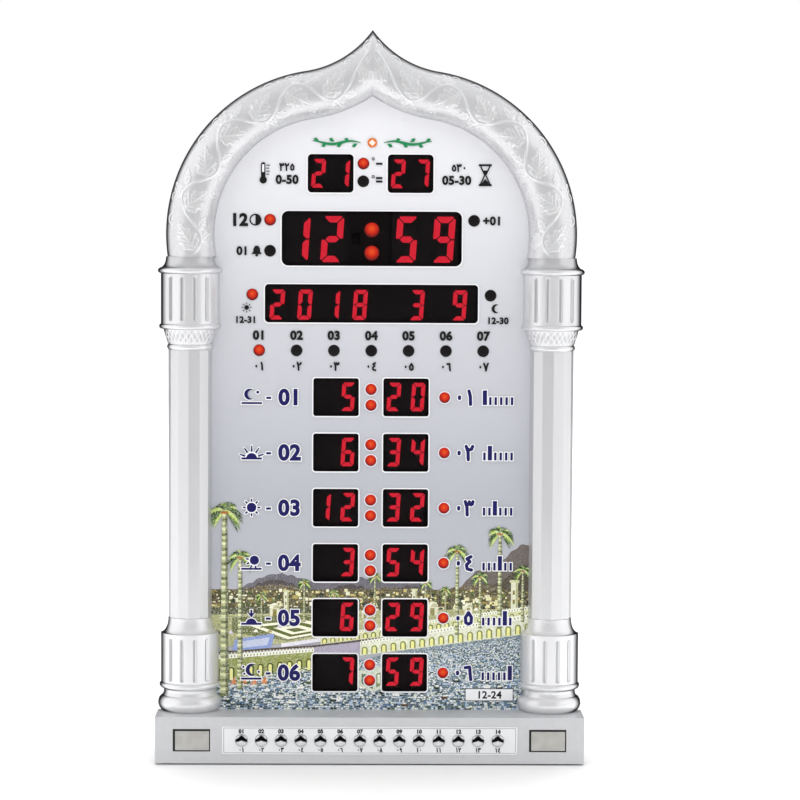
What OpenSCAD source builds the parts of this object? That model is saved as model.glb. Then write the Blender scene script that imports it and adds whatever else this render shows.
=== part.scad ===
// Call-to-prayer clock in an ogee arch case, with a calendar, six time rows and fourteen buttons.
// Millimetres. +Z is up and the face looks towards -Y. The origin is under the middle of the case.
// Every moulding on the face is a half-round shell whose open back lies in one plane, mould_y.

/* [Plinth] */
// Width of the plinth, the widest part of the case
plinth_w = 258; // [254:1:270]
// Height of the plinth
plinth_h = 28; // [27:0.5:32]
// Depth of the plinth in front of the moulding plane
plinth_d = 28.2; // [27:0.2:32]
// Wall thickness of the plinth
plinth_wall = 2.5; // [2.2:0.1:3]
// Width of the recessed plate at each end of the plinth
inset_w = 22.4; // [18:0.2:24]
// Height of the recessed plate at each end of the plinth
inset_h = 13.6; // [10:0.2:15]
// Distance of each recessed plate's middle from the end of the plinth
inset_from_end = 22; // [19:0.5:23]
// Depth of the recess that holds the plate
inset_recess = 1.2; // [0.8:0.1:1.4]
// Thickness of the recessed plate
inset_t = 0.6; // [0.4:0.1:0.7]

/* [Columns] */
// Largest radius of the torus under each column
torus_r = 19.3; // [18.6:0.1:19.8]
// Height of the column base
base_h = 56.9; // [54:0.1:60]
// Length of the column shaft
shaft_h = 162.6; // [158:0.2:175]
// Corner radius of the twelve-sided shaft
shaft_r = 13.1; // [12.6:0.1:13.6]
// Height of the capital
capital_h = 56.1; // [54:0.1:60]
// Radius of the fluted drums
drum_r = 17.6; // [17:0.1:18.2]
// Radius of the capital's lip
lip_r = 19.4; // [19:0.1:19.8]
// Width of a flute
flute_w = 2; // [1.4:0.1:2.4]
// Depth of a flute
flute_depth = 0.9; // [0.5:0.1:1.1]
// Angle between neighbouring flutes
flute_step = 26; // [22:1:28]
// Wall thickness of the hollow mouldings
moulding_t = 2.4; // [2:0.1:2.8]

/* [Arch] */
// Radius of the arch's main curve on its centre line
arch_r = 85; // [82:0.5:88]
// Height of the main curve's centre above the capital
arch_stilt = 13.4; // [10:0.2:16]
// Angle at which the main curve turns into the reverse curve
arch_turn = 81; // [80:0.5:82]
// Radius of the reverse curve on its centre line
ogee_r = 75.6; // [74:0.2:78]
// Half width of the arch moulding
arch_half_w = 14.5; // [14:0.1:15]

/* [Panel] */
// Thickness of the printed front panel
panel_t = 2; // [1.6:0.1:2.5]
// Depth of the panel frame behind the moulding plane
frame_d = 5; // [4.5:0.1:6]
// Distance from the moulding plane to the rear face
rear_d = 24; // [23:0.5:30]
// Wall thickness of the back cover
cover_t = 2; // [1.6:0.1:2.4]

/* [Displays] */
// Width of the clock time window
time_w = 108.8; // [107:0.2:110]
// Height of the clock time window
time_h = 33; // [31:0.2:34]
// Width of the date window
date_w = 128.9; // [127:0.1:131]
// Height of the date window
date_h = 23.2; // [22:0.1:24]
// Width of each small window
small_w = 27.6; // [26.6:0.1:28]
// Height of each small window
small_h = 23.1; // [22:0.1:24]
// Distance from the time window's middle to the windows above and below it
window_step = 39.2; // [38:0.1:41]
// Distance between neighbouring time rows
row_step = 33.66; // [33:0.02:34]
// Height of the clock time digits
time_digit_h = 27.8; // [26:0.2:28.6]
// Height of the date digits
date_digit_h = 18.2; // [17:0.1:19]
// Height of the small digits
small_digit_h = 17.3; // [16:0.1:18]
// Slant of the digits
slant = 4; // [0:0.5:10]
// Thickness of the display filters
filter_t = 1.2; // [1:0.1:1.4]

/* [Lamps] */
// Radius of the status, weekday and row lamps
lamp_r = 3.45; // [3:0.05:3.6]
// Radius of the small colon lamps
colon_r = 3.6; // [3.2:0.05:3.7]
// Radius of the clock time colon lamps
big_colon_r = 4.5; // [4:0.05:4.6]
// Height of a lamp's dome in front of the panel
lamp_proud = 1.5; // [1:0.1:2]

/* [Buttons] */
// Distance between neighbouring buttons
button_step = 11.84; // [11.6:0.02:12]
// Radius of a button
button_r = 3.6; // [3.2:0.1:3.8]
// Height of a button's dome in front of the plinth
button_proud = 1.8; // [1.4:0.1:2.2]
// Travel of a button
button_travel = 0.6; // [0.3:0.1:0.8]
// Radial clearance of a button in its hole
button_gap = 0.2; // [0.15:0.05:0.3]
// Width of the label strip
strip_w = 178; // [174:0.5:182]
// Height of the label strip
strip_h = 17.2; // [14:0.2:18]
// Thickness of the label strip
strip_t = 0.5; // [0.3:0.1:0.7]

/* [Wall mount] */
// Distance between the keyholes
keyhole_step = 120; // [100:1:130]
// Entry radius of a keyhole
keyhole_r = 4.5; // [4:0.1:5]
// Slot width of a keyhole
keyhole_slot = 4.6; // [4:0.1:5]

/* [Hidden] */
$fn = 72;
fit = 0.1;                    // clearance all round a piece in its recess
loose = 0.3;                  // clearance between pieces that must not touch
inset_gap = 0.5;              // clearance round an end plate
eps = 0.05;                   // overrun of a cut past a face
row_count = 6;
day_count = 7;
button_count = 14;

// Depths, front to back
mould_y = (plinth_d + button_proud - rear_d) / 2;
plinth_y = mould_y - plinth_d;
panel_back_y = mould_y + panel_t;
filter_back_y = panel_back_y + filter_t;
segment_t = 0.4;
segment_y = filter_back_y + 0.2;
module_y = segment_y + segment_t;
module_d = 6.2;
board_y = module_y + module_d;
board_t = 1.6;
board_back_y = board_y + board_t;
frame_back_y = mould_y + frame_d;
rear_y = mould_y + rear_d;
cover_in_y = rear_y - cover_t;

// Columns and arch
column_x = plinth_w / 2 - torus_r - 0.2;
shaft_z = plinth_h + base_h;
capital_z = shaft_z + shaft_h;
spring_z = capital_z + capital_h;
arch_z = spring_z + arch_stilt;
arch_x = column_x - arch_r;
ogee_x = arch_x + (arch_r + ogee_r) * cos(arch_turn);
ogee_z = arch_z + (arch_r + ogee_r) * sin(arch_turn);
apex_z = ogee_z - sqrt(ogee_r * ogee_r - ogee_x * ogee_x);
flute_angles = [for (i = [-1.5 : 1 : 1.5]) i * flute_step];

// Offsets from the centre line of the columns and the arch, outwards
case_off = 12;                // frame and cover edge
panel_off = -9;               // panel edge, under the mouldings
ledge_off = -12.5;            // frame's ledge behind the panel
panel_z = plinth_h - 4;
ledge_z = plinth_h - 0.5;

// Places on the panel
time_z = arch_z - 2.2;
date_z = time_z - window_step;
counter_z = time_z + window_step;
day_z = date_z - 28.5;
row_z = day_z - 28.2;
row_zs = [for (i = [0 : row_count - 1]) row_z - i * row_step];
small_x = 21.2;
counter_xs = [-25, 23.2];
day_step = 22.6;
row_lamp_gap = 9.6;           // lamps beside a window, from the window's edge
time_lamp_gap = 7;
alarm_lamp_gap = 7.3;
date_lamp_gap = 7.55;
time_lamp_up = 11.1;          // the same lamps, from the window's middle
bell_lamp_down = 7.6;
date_lamp_up = 5.2;
degree_lamp_x = -5.3;
degree_lamp_up = 6;
degree_lamp_down = 4.7;
row_colon_half = 4.8;         // half the distance between the lamps of a colon
big_colon_half = 7;
big_colon_drop = 1.7;
flange = 1.5;                 // filter flange round each window

// [x, z, width, height, corner radius] of each window
time_windows = [[0, time_z, time_w, time_h, 4]];
date_windows = [[0, date_z, date_w, date_h, 2.3]];
counter_windows_at = [for (x = counter_xs) [x, counter_z, small_w, small_h, 2.4]];
row_windows_at = [for (z = row_zs, s = [-1, 1]) [s * small_x, z, small_w, small_h, 1.5]];
all_windows = concat(time_windows, date_windows, counter_windows_at, row_windows_at);

// [x, z] of each lamp
big_colon_at = [for (s = [-1, 1]) [0, time_z - big_colon_drop + big_colon_half * s]];
row_colon_at = [for (z = row_zs, s = [-1, 1]) [0, z + row_colon_half * s]];
row_lamp_at = [for (z = row_zs) [small_x + small_w / 2 + row_lamp_gap, z]];
day_lamp_at = [for (i = [0 : day_count - 1]) [(i - 3) * day_step, day_z]];
status_lamp_at = [
    [degree_lamp_x, counter_z + degree_lamp_up], [degree_lamp_x, counter_z - degree_lamp_down],
    [-time_w / 2 - time_lamp_gap, time_z + time_lamp_up],
    [-time_w / 2 - time_lamp_gap, time_z - bell_lamp_down],
    [time_w / 2 + alarm_lamp_gap, time_z + time_lamp_up],
    [-date_w / 2 - date_lamp_gap, date_z + date_lamp_up],
    [date_w / 2 + date_lamp_gap, date_z + date_lamp_up]
];
lamp_holes = concat(status_lamp_at, day_lamp_at, row_lamp_at);

// [x, z] of each digit
hour_x = -34.05;              // middle of the hours' pair and of the minutes' pair
hour_step = 20.3;
minute_x = 32.25;
minute_step = 22.5;
time_digit_drop = 0.4;
date_digit_drop = 0.9;
year_step = 16.7;
small_digit_step = 14.6;      // between the two digits of any other pair
date_pair_step = 25.8;        // from the month's pair to the day's pair
date_end_left = 7.45;         // from the window's ends to the first and the last digit
date_end_right = 11.05;
time_digits = [for (pair = [[hour_x, hour_step], [minute_x, minute_step]], s = [-0.5, 0.5])
    [pair[0] + s * pair[1], time_z - time_digit_drop]];
year_digits = [for (i = [0 : 3]) [-date_w / 2 + date_end_left + i * year_step, date_z - date_digit_drop]];
month_day_digits = [for (pair = [1, 0], s = [1, 0])
    [date_w / 2 - date_end_right - pair * date_pair_step - s * small_digit_step, date_z - date_digit_drop]];
date_digits = concat(year_digits, month_day_digits);
counter_digits = [for (x = counter_xs, s = [-0.5, 0.5]) [x + s * small_digit_step, counter_z]];
row_digits = [for (w = row_windows_at, s = [-0.5, 0.5]) [w[0] + s * small_digit_step, w[1]]];

// Display modules: [x, z, width, height]
module_in = 1;                // a module is this much smaller than its window
time_module_w = 40.4;
time_modules = [for (x = [hour_x, minute_x]) [x, time_z, time_module_w, time_h - module_in]];
date_modules = [[0, date_z, date_w - module_in, date_h - module_in]];
counter_modules = [for (w = counter_windows_at) [w[0], w[1], small_w - module_in, small_h - module_in]];
row_modules = [for (w = row_windows_at) [w[0], w[1], small_w - module_in, small_h - module_in]];

// Screws: shank radius, head radius, head height, hole round the shank
screw_r = 1.45;
head_r = 2.8;
head_h = 1.8;
pilot_r = screw_r + 0.05;
pass_r = screw_r + 0.25;
boss_r = 3.6;
pillar_r = 4.6;
pillar_shelf_y = frame_back_y + 6;
screw_bite = 6;               // length of a moulding screw past the frame
post_bite = 5;                // length of a board screw past its board
cover_bite = 1.2;             // frame left in front of a cover screw
shaft_screw_up = [35, 130];   // heights of screws above the foot of the piece they hold
cover_screw_up = [80, 170];
base_screw_up = 32;
capital_screw_up = 31;
cover_screw_in = 1.5;         // distances of the cover screws in from the columns' middles
foot_screw_in = 15.5;
foot_screw_out = 2.5;
arch_screw_out = 2;
base_screw_z = plinth_h + base_screw_up;
shaft_screw_zs = [for (h = shaft_screw_up) shaft_z + h];
capital_screw_z = capital_z + capital_screw_up;
arch_screw_at = concat(
    [for (a = [18, 62]) [arch_x + arch_r * cos(a), arch_z + arch_r * sin(a)]],
    [[0, apex_z]]
);
plinth_screw_at = [column_x + foot_screw_out, plinth_h / 2];
moulding_screw_at = concat(
    [plinth_screw_at, [column_x, base_screw_z], [column_x, capital_screw_z]],
    [for (z = shaft_screw_zs) [column_x, z]],
    arch_screw_at
);
cover_arch_r = arch_r + arch_screw_out;
cover_screw_at = concat(
    [[column_x - foot_screw_in, plinth_h / 2]],
    [for (h = cover_screw_up) [column_x - cover_screw_in, shaft_z + h]],
    [[arch_x + cover_arch_r * cos(42), arch_z + cover_arch_r * sin(42)]]
);

// Display board and the posts that carry it: [x, z, angle of the arm that joins the post to the frame]
board_half_w = 90;
board_top_half_w = 78;
board_z = plinth_h + 6;
board_step_z = day_z + 3;
board_rise = 56;              // from the arch's middle to the board's upper edge
board_top_z = arch_z + board_rise;
post_in = 5;                  // posts, in from the board's edges
post_end = 8;
post_mid_up = 75;
post_arc_r = 66;
post_arc_turn = 50;
post_x = board_half_w - post_in;
post_at = [
    [post_x, board_z + post_end, 0], [post_x, shaft_z + post_mid_up, 0],
    [post_x, board_step_z - post_end, 0],
    [arch_x + post_arc_r * cos(post_arc_turn), arch_z + post_arc_r * sin(post_arc_turn), post_arc_turn]
];
post_r = 3.5;

// Buttons and the board behind them
button_z = plinth_h / 2;
button_xs = [for (i = [0 : button_count - 1]) (i - (button_count - 1) / 2) * button_step];
wall_in_y = plinth_y + plinth_wall;
button_flange_r = button_r + 1;
button_flange_t = 0.8;
button_stem = 1;
plunger_y = wall_in_y + loose + button_flange_t + button_stem + button_travel + loose;
plunger_h = 1;
switch_y = plunger_y + plunger_h;
switch_w = 6;
switch_d = 3.5;
button_board_y = switch_y + switch_d;
button_board_half_w = strip_w / 2 + 4;
button_board_h = 16;
button_post_x = strip_w / 2;

// Speaker, socket and wiring
speaker_r = 25;
speaker_rim = 3;
speaker_z = shaft_z + 25;
speaker_neck_r = 19;
magnet_r = 13;
speaker_ring_t = 1.6;
speaker_ring_lip = 1;         // height of the ring over the speaker's rim
speaker_wire_rise = 10;
jack_l = 14;
jack_d = 10;
jack_h = 11;
jack_z = plinth_h + 20;
jack_y = cover_in_y - jack_d / 2 - 1;
jack_x = column_x + case_off - cover_t;
jack_bore_r = 3.1;
jack_pin_r = 1.05;
jack_nose_r = 4.4;
ribbon_x = -30;
ribbon_w = 18;
ribbon_t = 0.8;
ribbon_z = plinth_h / 2;
ribbon_rise = 14;             // from the board's lower edge up to the cable's end
ribbon_top_z = board_z + ribbon_rise;

// ---------- helpers ----------

// Points of an arc about c, from angle a0 to a1
function arc(c, r, a0, a1, n) =
    [for (i = [0 : n]) let (a = a0 + (a1 - a0) * i / n) [c[0] + r * cos(a), c[1] + r * sin(a)]];

// A bead between z0 and z1 that swells by s to the radius r
function bead(r, z0, z1, s) =
    let (h = (z1 - z0) / 2, big = (h * h + s * s) / (2 * s), a = asin(h / big))
    arc([r - big, (z0 + z1) / 2], big, -a, a, 6);

// A hollow curve from p to q, upright at q
function cove(p, q) =
    [for (i = [0 : 5])
        let (a = i * 18)
        [q[0] + (p[0] - q[0]) * (1 - sin(a)), p[1] + (q[1] - p[1]) * (1 - cos(a))]];

// A flat shape in X and Z, thick from y0 to y1
module plate(y0, y1) {
    translate([0, y1, 0])
    rotate([90, 0, 0])
    linear_extrude(y1 - y0)
    children();
}

// A cylinder along Y
module rod(x, z, r, y0, y1) {
    translate([x, y0, z])
    rotate([-90, 0, 0])
    cylinder(r = r, h = y1 - y0);
}

module both_sides() {
    children();
    mirror([1, 0, 0]) children();
}

module round_rect(w, h, r) {
    square([w - 2 * r, h], center = true);
    square([w, h - 2 * r], center = true);
    for (sx = [-1, 1], sz = [-1, 1])
        translate([sx * (w / 2 - r), sz * (h / 2 - r)])
        circle(r);
}

// Everything inside the case's line, moved out by off, from z0 to the point of the arch
module outline(off, z0) {
    main_r = arch_r + off;
    back_r = ogee_r - off;
    join = [arch_x + main_r * cos(arch_turn), arch_z + main_r * sin(arch_turn)];
    tip_z = ogee_z - sqrt(back_r * back_r - ogee_x * ogee_x);
    translate([-column_x - off, z0]) square([2 * (column_x + off), arch_z - z0]);
    for (s = [-1, 1])
        translate([s * arch_x, arch_z]) circle(main_r, $fn = 180);
    difference() {
        polygon([[-arch_x, arch_z], [arch_x, arch_z], join, [0, tip_z], [-join[0], join[1]]]);
        for (s = [-1, 1])
            translate([s * ogee_x, ogee_z]) circle(back_r, $fn = 180);
    }
}

// The front half of a turned shape about the Z axis
module half_turned(profile) {
    rotate([0, 0, 180])
    rotate_extrude(angle = 180)
    polygon(profile);
}

// ---------- arch ----------

// Half-ring section at the distance r from the curve's centre, thicker by grow on both faces
module arch_section(r, grow = 0) {
    difference() {
        translate([r, 0]) circle(arch_half_w + grow);
        translate([r, 0]) circle(arch_half_w - moulding_t - grow);
        translate([r - arch_half_w - 1, -arch_half_w - 1]) square([2 * arch_half_w + 2, arch_half_w + 1]);
    }
}

module arch_side() {
    difference() {
        translate([arch_x, 0, arch_z])
        rotate([90, 0, 0])
        rotate([0, 0, -15])
        rotate_extrude(angle = arch_turn + 15, $fn = 180)
        arch_section(arch_r);

        // level foot on the capital
        translate([0, -arch_r, spring_z - arch_r]) cube([2 * arch_r + ogee_r, 2 * arch_r, arch_r]);
    }
    // narrow band that joins the two curves
    translate([arch_x, 0, arch_z])
    rotate([90, 0, 0])
    rotate([0, 0, arch_turn - 0.5])
    rotate_extrude(angle = 1, $fn = 180)
    arch_section(arch_r, eps);
    difference() {
        translate([ogee_x, 0, ogee_z])
        rotate([90, 0, 0])
        rotate([0, 0, 200])
        rotate_extrude(angle = arch_turn - 20, $fn = 180)
        arch_section(ogee_r);

        // mitre on the middle plane
        translate([-arch_r, -arch_r, spring_z]) cube([arch_r, 2 * arch_r, 3 * arch_r]);
    }
}

module arch_crown() {
    color("silver")
    translate([0, mould_y, 0])
    difference() {
        union() {
            both_sides() arch_side();
            for (s = [-1, 1], p = arch_screw_at)
                rod(s * p[0], p[1], boss_r, moulding_t - arch_half_w - 0.5, 0);
        }
        for (s = [-1, 1], p = arch_screw_at)
            rod(s * p[0], p[1], pilot_r, moulding_t - arch_half_w + 1, eps);
    }
}

// ---------- columns ----------

// Four upright flutes with round ends, cut into a drum
module flutes(z0, z1) {
    r = flute_w / 2;
    for (a = flute_angles)
        rotate([0, 0, a - 90])
        translate([drum_r - flute_depth + r, 0, 0]) {
            translate([0, 0, z0 + r]) cylinder(r = r, h = z1 - z0 - 2 * r, $fn = 24);
            for (z = [z0 + r, z1 - r])
                translate([0, 0, z]) sphere(r, $fn = 24);
        }
}

// A screw boss inside a hollow moulding, and its hole
module boss(z, reach) {
    rod(0, z, boss_r, -reach, 0);
}

module boss_hole(z) {
    rod(0, z, pilot_r, -8, eps);
}

collar_h = 3.3;
neck_top_r = 16;
neck_bottom_r = shaft_r;
neck_h = 9.3;
ring_h = 3;
lip_h = 3.1;
capital_drum_z = collar_h + neck_h + ring_h;
capital_lip_z = capital_h - 10;

module capital() {
    wall = moulding_t;
    outside = concat(
        bead(shaft_r + 0.8, 0, collar_h, 0.6),
        [[neck_bottom_r, collar_h], [neck_top_r, collar_h + neck_h]],
        bead(drum_r + 1.1, collar_h + neck_h, capital_drum_z, 0.9),
        [[drum_r, capital_drum_z], [drum_r, capital_lip_z]],
        bead(lip_r, capital_lip_z, capital_lip_z + lip_h, 1),
        cove([lip_r - 1.2, capital_lip_z + lip_h], [arch_half_w, capital_h])
    );
    inside = [
        [arch_half_w - wall, capital_h], [arch_half_w - wall, capital_lip_z + lip_h],
        [drum_r - wall, capital_lip_z - 1], [drum_r - wall, capital_drum_z + 1],
        [shaft_r - wall, collar_h + neck_h / 2], [shaft_r - wall, 0]
    ];
    difference() {
        union() {
            half_turned(concat(outside, inside));
            boss(capital_screw_z - capital_z, drum_r - wall + 0.5);
        }
        flutes(capital_drum_z + 1.9, capital_lip_z - 1.6);
        boss_hole(capital_screw_z - capital_z);
    }
}

torus_h = 9.4;
scotia_r = 15.8;
scotia_h = 4.6;
base_ring_h = 3.6;
base_drum_z = torus_h + scotia_h + base_ring_h;
base_shoulder_z = base_h - 9.2;

module column_base() {
    wall = moulding_t;
    outside = concat(
        bead(torus_r, 0, torus_h, 2.2),
        [[scotia_r + 0.8, torus_h], [scotia_r, torus_h + 1.2], [scotia_r, torus_h + scotia_h]],
        bead(drum_r + 0.85, torus_h + scotia_h, base_drum_z, 1),
        [[drum_r, base_drum_z], [drum_r, base_shoulder_z]],
        cove([drum_r, base_shoulder_z], [shaft_r, base_h])
    );
    inside = [
        [shaft_r - wall, base_h], [shaft_r - wall, base_shoulder_z + 3],
        [drum_r - wall, base_shoulder_z - 3], [drum_r - wall, base_drum_z + 1],
        [scotia_r - wall, torus_h + scotia_h], [scotia_r - wall, 0]
    ];
    difference() {
        union() {
            half_turned(concat(outside, inside));
            boss(base_screw_z - plinth_h, drum_r - wall + 0.5);
        }
        flutes(base_drum_z + 1.4, base_shoulder_z - 2.7);
        boss_hole(base_screw_z - plinth_h);
    }
}

module column() {
    reach = (shaft_r - moulding_t) * cos(15);
    difference() {
        union() {
            difference() {
                cylinder(r = shaft_r, h = shaft_h, $fn = 12);
                translate([0, 0, -1]) cylinder(r = shaft_r - moulding_t, h = shaft_h + 2, $fn = 12);
                translate([-20, 0, -1]) cube([40, 20, shaft_h + 2]);
            }
            for (z = shaft_screw_zs)
                boss(z - shaft_z, reach + 1);
        }
        for (z = shaft_screw_zs)
            boss_hole(z - shaft_z);
    }
}

module capital_left() {
    color("silver") translate([-column_x, mould_y, capital_z]) capital();
}

module capital_right() {
    color("silver") translate([column_x, mould_y, capital_z]) capital();
}

module column_left() {
    color("silver") translate([-column_x, mould_y, shaft_z]) column();
}

module column_right() {
    color("silver") translate([column_x, mould_y, shaft_z]) column();
}

module column_base_left() {
    color("silver") translate([-column_x, mould_y, plinth_h]) column_base();
}

module column_base_right() {
    color("silver") translate([column_x, mould_y, plinth_h]) column_base();
}

// ---------- plinth ----------

module inset_places() {
    for (s = [-1, 1])
        translate([s * (plinth_w / 2 - inset_from_end), plinth_h / 2])
        children();
}

module plinth() {
    color("lightgray")
    difference() {
        union() {
            difference() {
                translate([-plinth_w / 2, plinth_y, 0]) cube([plinth_w, plinth_d, plinth_h]);
                translate([-plinth_w / 2 + plinth_wall, wall_in_y, plinth_wall])
                    cube([plinth_w - 2 * plinth_wall, plinth_d, plinth_h - 2 * plinth_wall]);
            }
            for (s = [-1, 1]) {
                rod(s * plinth_screw_at[0], plinth_screw_at[1], boss_r, wall_in_y - 0.5, mould_y);
                rod(s * button_post_x, button_z, post_r, wall_in_y - 0.5, button_board_y);
            }
        }
        for (s = [-1, 1]) {
            rod(s * plinth_screw_at[0], plinth_screw_at[1], pilot_r, mould_y - 11, mould_y + eps);
            rod(s * button_post_x, button_z, pilot_r, wall_in_y + 1, button_board_y + eps);
        }
        plate(plinth_y - 1, plinth_y + strip_t)
            translate([0, button_z]) square([strip_w, strip_h], center = true);
        plate(plinth_y - 1, plinth_y + inset_recess)
            inset_places() square([inset_w, inset_h], center = true);
        for (x = button_xs)
            rod(x, button_z, button_r + button_gap, plinth_y - 1, wall_in_y + 1);
    }
}

module inset_plates() {
    color("darkkhaki")
    plate(plinth_y + inset_recess - inset_t, plinth_y + inset_recess)
        inset_places() square([inset_w - 2 * inset_gap, inset_h - 2 * inset_gap], center = true);
}

module button_strip() {
    color("white")
    difference() {
        plate(plinth_y, plinth_y + strip_t)
            translate([0, button_z]) square([strip_w - 2 * fit, strip_h - 2 * fit], center = true);
        for (x = button_xs)
            rod(x, button_z, button_r + button_gap, plinth_y - 1, wall_in_y);
    }
}

// Button number i: a domed cap, a flange that keeps it in, and a stem towards its switch
module button(i) {
    dome_r = (button_r * button_r + button_proud * button_proud) / (2 * button_proud);
    flange_y = wall_in_y + loose;
    color("gainsboro")
    translate([button_xs[i], 0, button_z]) {
        rod(0, 0, button_r, plinth_y, flange_y);
        rod(0, 0, button_flange_r, flange_y, flange_y + button_flange_t);
        rod(0, 0, 1.6, flange_y + button_flange_t, flange_y + button_flange_t + button_stem);
        intersection() {
            translate([0, plinth_y - button_proud + dome_r, 0]) sphere(dome_r);
            rod(0, 0, button_r, plinth_y - button_proud - 1, plinth_y);
        }
    }
}

// ---------- frame, panel and cover ----------

module panel_frame() {
    color("dimgray")
    difference() {
        union() {
            difference() {
                plate(mould_y, frame_back_y) outline(case_off, 0);
                plate(mould_y - 1, panel_back_y) outline(panel_off + fit, panel_z - fit);
                plate(mould_y, frame_back_y + 1) outline(ledge_off, ledge_z);
            }
            for (s = [-1, 1], p = post_at) {
                // arm from the ledge to the post, behind the panel
                translate([s * p[0], panel_back_y, p[1]])
                rotate([0, s > 0 ? -p[2] : 180 + p[2], 0])
                translate([0, 0, -post_r])
                cube([p[2] == 0 ? column_x + ledge_off - p[0] + 1 : arch_r + ledge_off - post_arc_r + 1.5,
                      frame_back_y - panel_back_y, 2 * post_r]);
                rod(s * p[0], p[1], post_r, panel_back_y, board_y);
            }
        }
        for (s = [-1, 1]) {
            for (p = post_at)
                rod(s * p[0], p[1], pilot_r, panel_back_y + 1.5, board_y + eps);
            for (p = moulding_screw_at)
                rod(s * p[0], p[1], pass_r, mould_y - eps, frame_back_y + eps);
            for (p = cover_screw_at)
                rod(s * p[0], p[1], pilot_r, mould_y + 0.6, frame_back_y + eps);
        }
        // slot for the ribbon cable
        translate([ribbon_x - ribbon_w / 2 - 1, mould_y - 1, ribbon_z - 3])
            cube([ribbon_w + 2, frame_d + 2, 6]);
    }
}

module front_panel() {
    color("whitesmoke")
    difference() {
        plate(mould_y, panel_back_y) outline(panel_off, panel_z);
        plate(mould_y - 1, panel_back_y + 1)
            for (w = all_windows)
                translate([w[0], w[1]]) round_rect(w[2], w[3], w[4]);
        for (p = lamp_holes)
            rod(p[0], p[1], lamp_r + fit, mould_y - 1, panel_back_y + 1);
        for (p = row_colon_at)
            rod(p[0], p[1], colon_r + fit, mould_y - 1, panel_back_y + 1);
    }
}

module keyhole(x, z) {
    rod(x, z, keyhole_r, cover_in_y - 1, rear_y + 1);
    rod(x, z + 9, keyhole_slot / 2, cover_in_y - 1, rear_y + 1);
    translate([x - keyhole_slot / 2, cover_in_y - 1, z]) cube([keyhole_slot, cover_t + 2, 9]);
}

module back_cover() {
    ring_y = cover_in_y - speaker_rim - speaker_ring_lip;
    color("gray")
    difference() {
        union() {
            difference() {
                plate(frame_back_y, rear_y) outline(case_off, 0);
                plate(frame_back_y - 1, cover_in_y) outline(case_off - cover_t, cover_t);
            }
            for (s = [-1, 1], p = cover_screw_at)
                rod(s * p[0], p[1], pillar_r, frame_back_y, cover_in_y + 0.5);
            // ring round the speaker
            difference() {
                rod(0, speaker_z, speaker_r + fit + speaker_ring_t, ring_y, cover_in_y + 0.5);
                rod(0, speaker_z, speaker_r + fit, ring_y - 1, cover_in_y);
            }
            // ribs above and below the socket
            for (s = [-1, 1])
                translate([jack_x - jack_l, jack_y - jack_d / 2, jack_z + s * (jack_h / 2 + fit + 0.8) - 0.8])
                    cube([jack_l + 0.5, cover_in_y - jack_y + jack_d / 2 + 0.5, 1.6]);
        }
        for (s = [-1, 1], p = cover_screw_at) {
            rod(s * p[0], p[1], pass_r, frame_back_y - eps, pillar_shelf_y + 1);
            rod(s * p[0], p[1], head_r + loose, pillar_shelf_y, rear_y + 1);
        }
        for (s = [-1, 1])
            keyhole(s * keyhole_step / 2, arch_z + 13);
        // speaker grille
        for (i = [-4 : 4])
            translate([0, cover_in_y - 1, speaker_z + i * 5 - 1])
            translate([-sqrt(484 - i * i * 25), 0, 0])
            cube([2 * sqrt(484 - i * i * 25), cover_t + 2, 2]);
        // vents
        for (s = [-1, 1], i = [0 : 7])
            translate([s * 40 + (i - 3.5) * 6 - 1.2, cover_in_y - 1, day_z - 12])
            cube([2.4, cover_t + 2, 24]);
        // opening for the power socket
        translate([jack_x - 1, jack_y, jack_z])
        rotate([0, 90, 0])
        cylinder(r = jack_nose_r + fit, h = cover_t + 3);
    }
}

// ---------- displays ----------

// Filters: a plug that fills each opening and a flange behind the panel
module filters(windows) {
    plate(mould_y + 0.3, panel_back_y + eps)
        for (w = windows)
            translate([w[0], w[1]]) round_rect(w[2] - 2 * fit, w[3] - 2 * fit, w[4] - fit);
    plate(panel_back_y, filter_back_y)
        for (w = windows)
            translate([w[0], w[1]]) square([w[2] + 2 * flange, w[3] + 2 * flange], center = true);
}

module time_window() {
    color([0.1, 0.05, 0.05])
    difference() {
        filters(time_windows);
        for (p = big_colon_at)
            rod(p[0], p[1], big_colon_r + fit, mould_y - 1, filter_back_y + 1);
    }
}

module date_window() {
    color([0.1, 0.05, 0.05]) filters(date_windows);
}

module counter_windows() {
    color([0.1, 0.05, 0.05]) filters(counter_windows_at);
}

module row_windows() {
    color([0.1, 0.05, 0.05]) filters(row_windows_at);
}

module housings(modules) {
    plate(module_y, board_y)
        for (m = modules)
            translate([m[0], m[1]]) square([m[2], m[3]], center = true);
}

module time_display() {
    color([0.15, 0.15, 0.15]) housings(time_modules);
}

module date_display() {
    color([0.15, 0.15, 0.15]) housings(date_modules);
}

module counter_displays() {
    color([0.15, 0.15, 0.15]) housings(counter_modules);
}

module row_displays() {
    color([0.15, 0.15, 0.15]) housings(row_modules);
}

// Outline of one bar, mirrored by sx and sz and leaned with the digit
module bar(shape, sx = 1, sz = 1) {
    polygon([for (p = shape) [sx * p[0] + sz * p[1] * tan(slant), sz * p[1]]]);
}

digit_share = 0.46;           // width of a digit over its height
bar_share = 0.137;            // thickness of a bar over the digit's height
gap_share = 0.12;             // half the gap between bars over their thickness
corner_share = 0.45;          // cut corner of a digit over the bars' thickness

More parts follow.
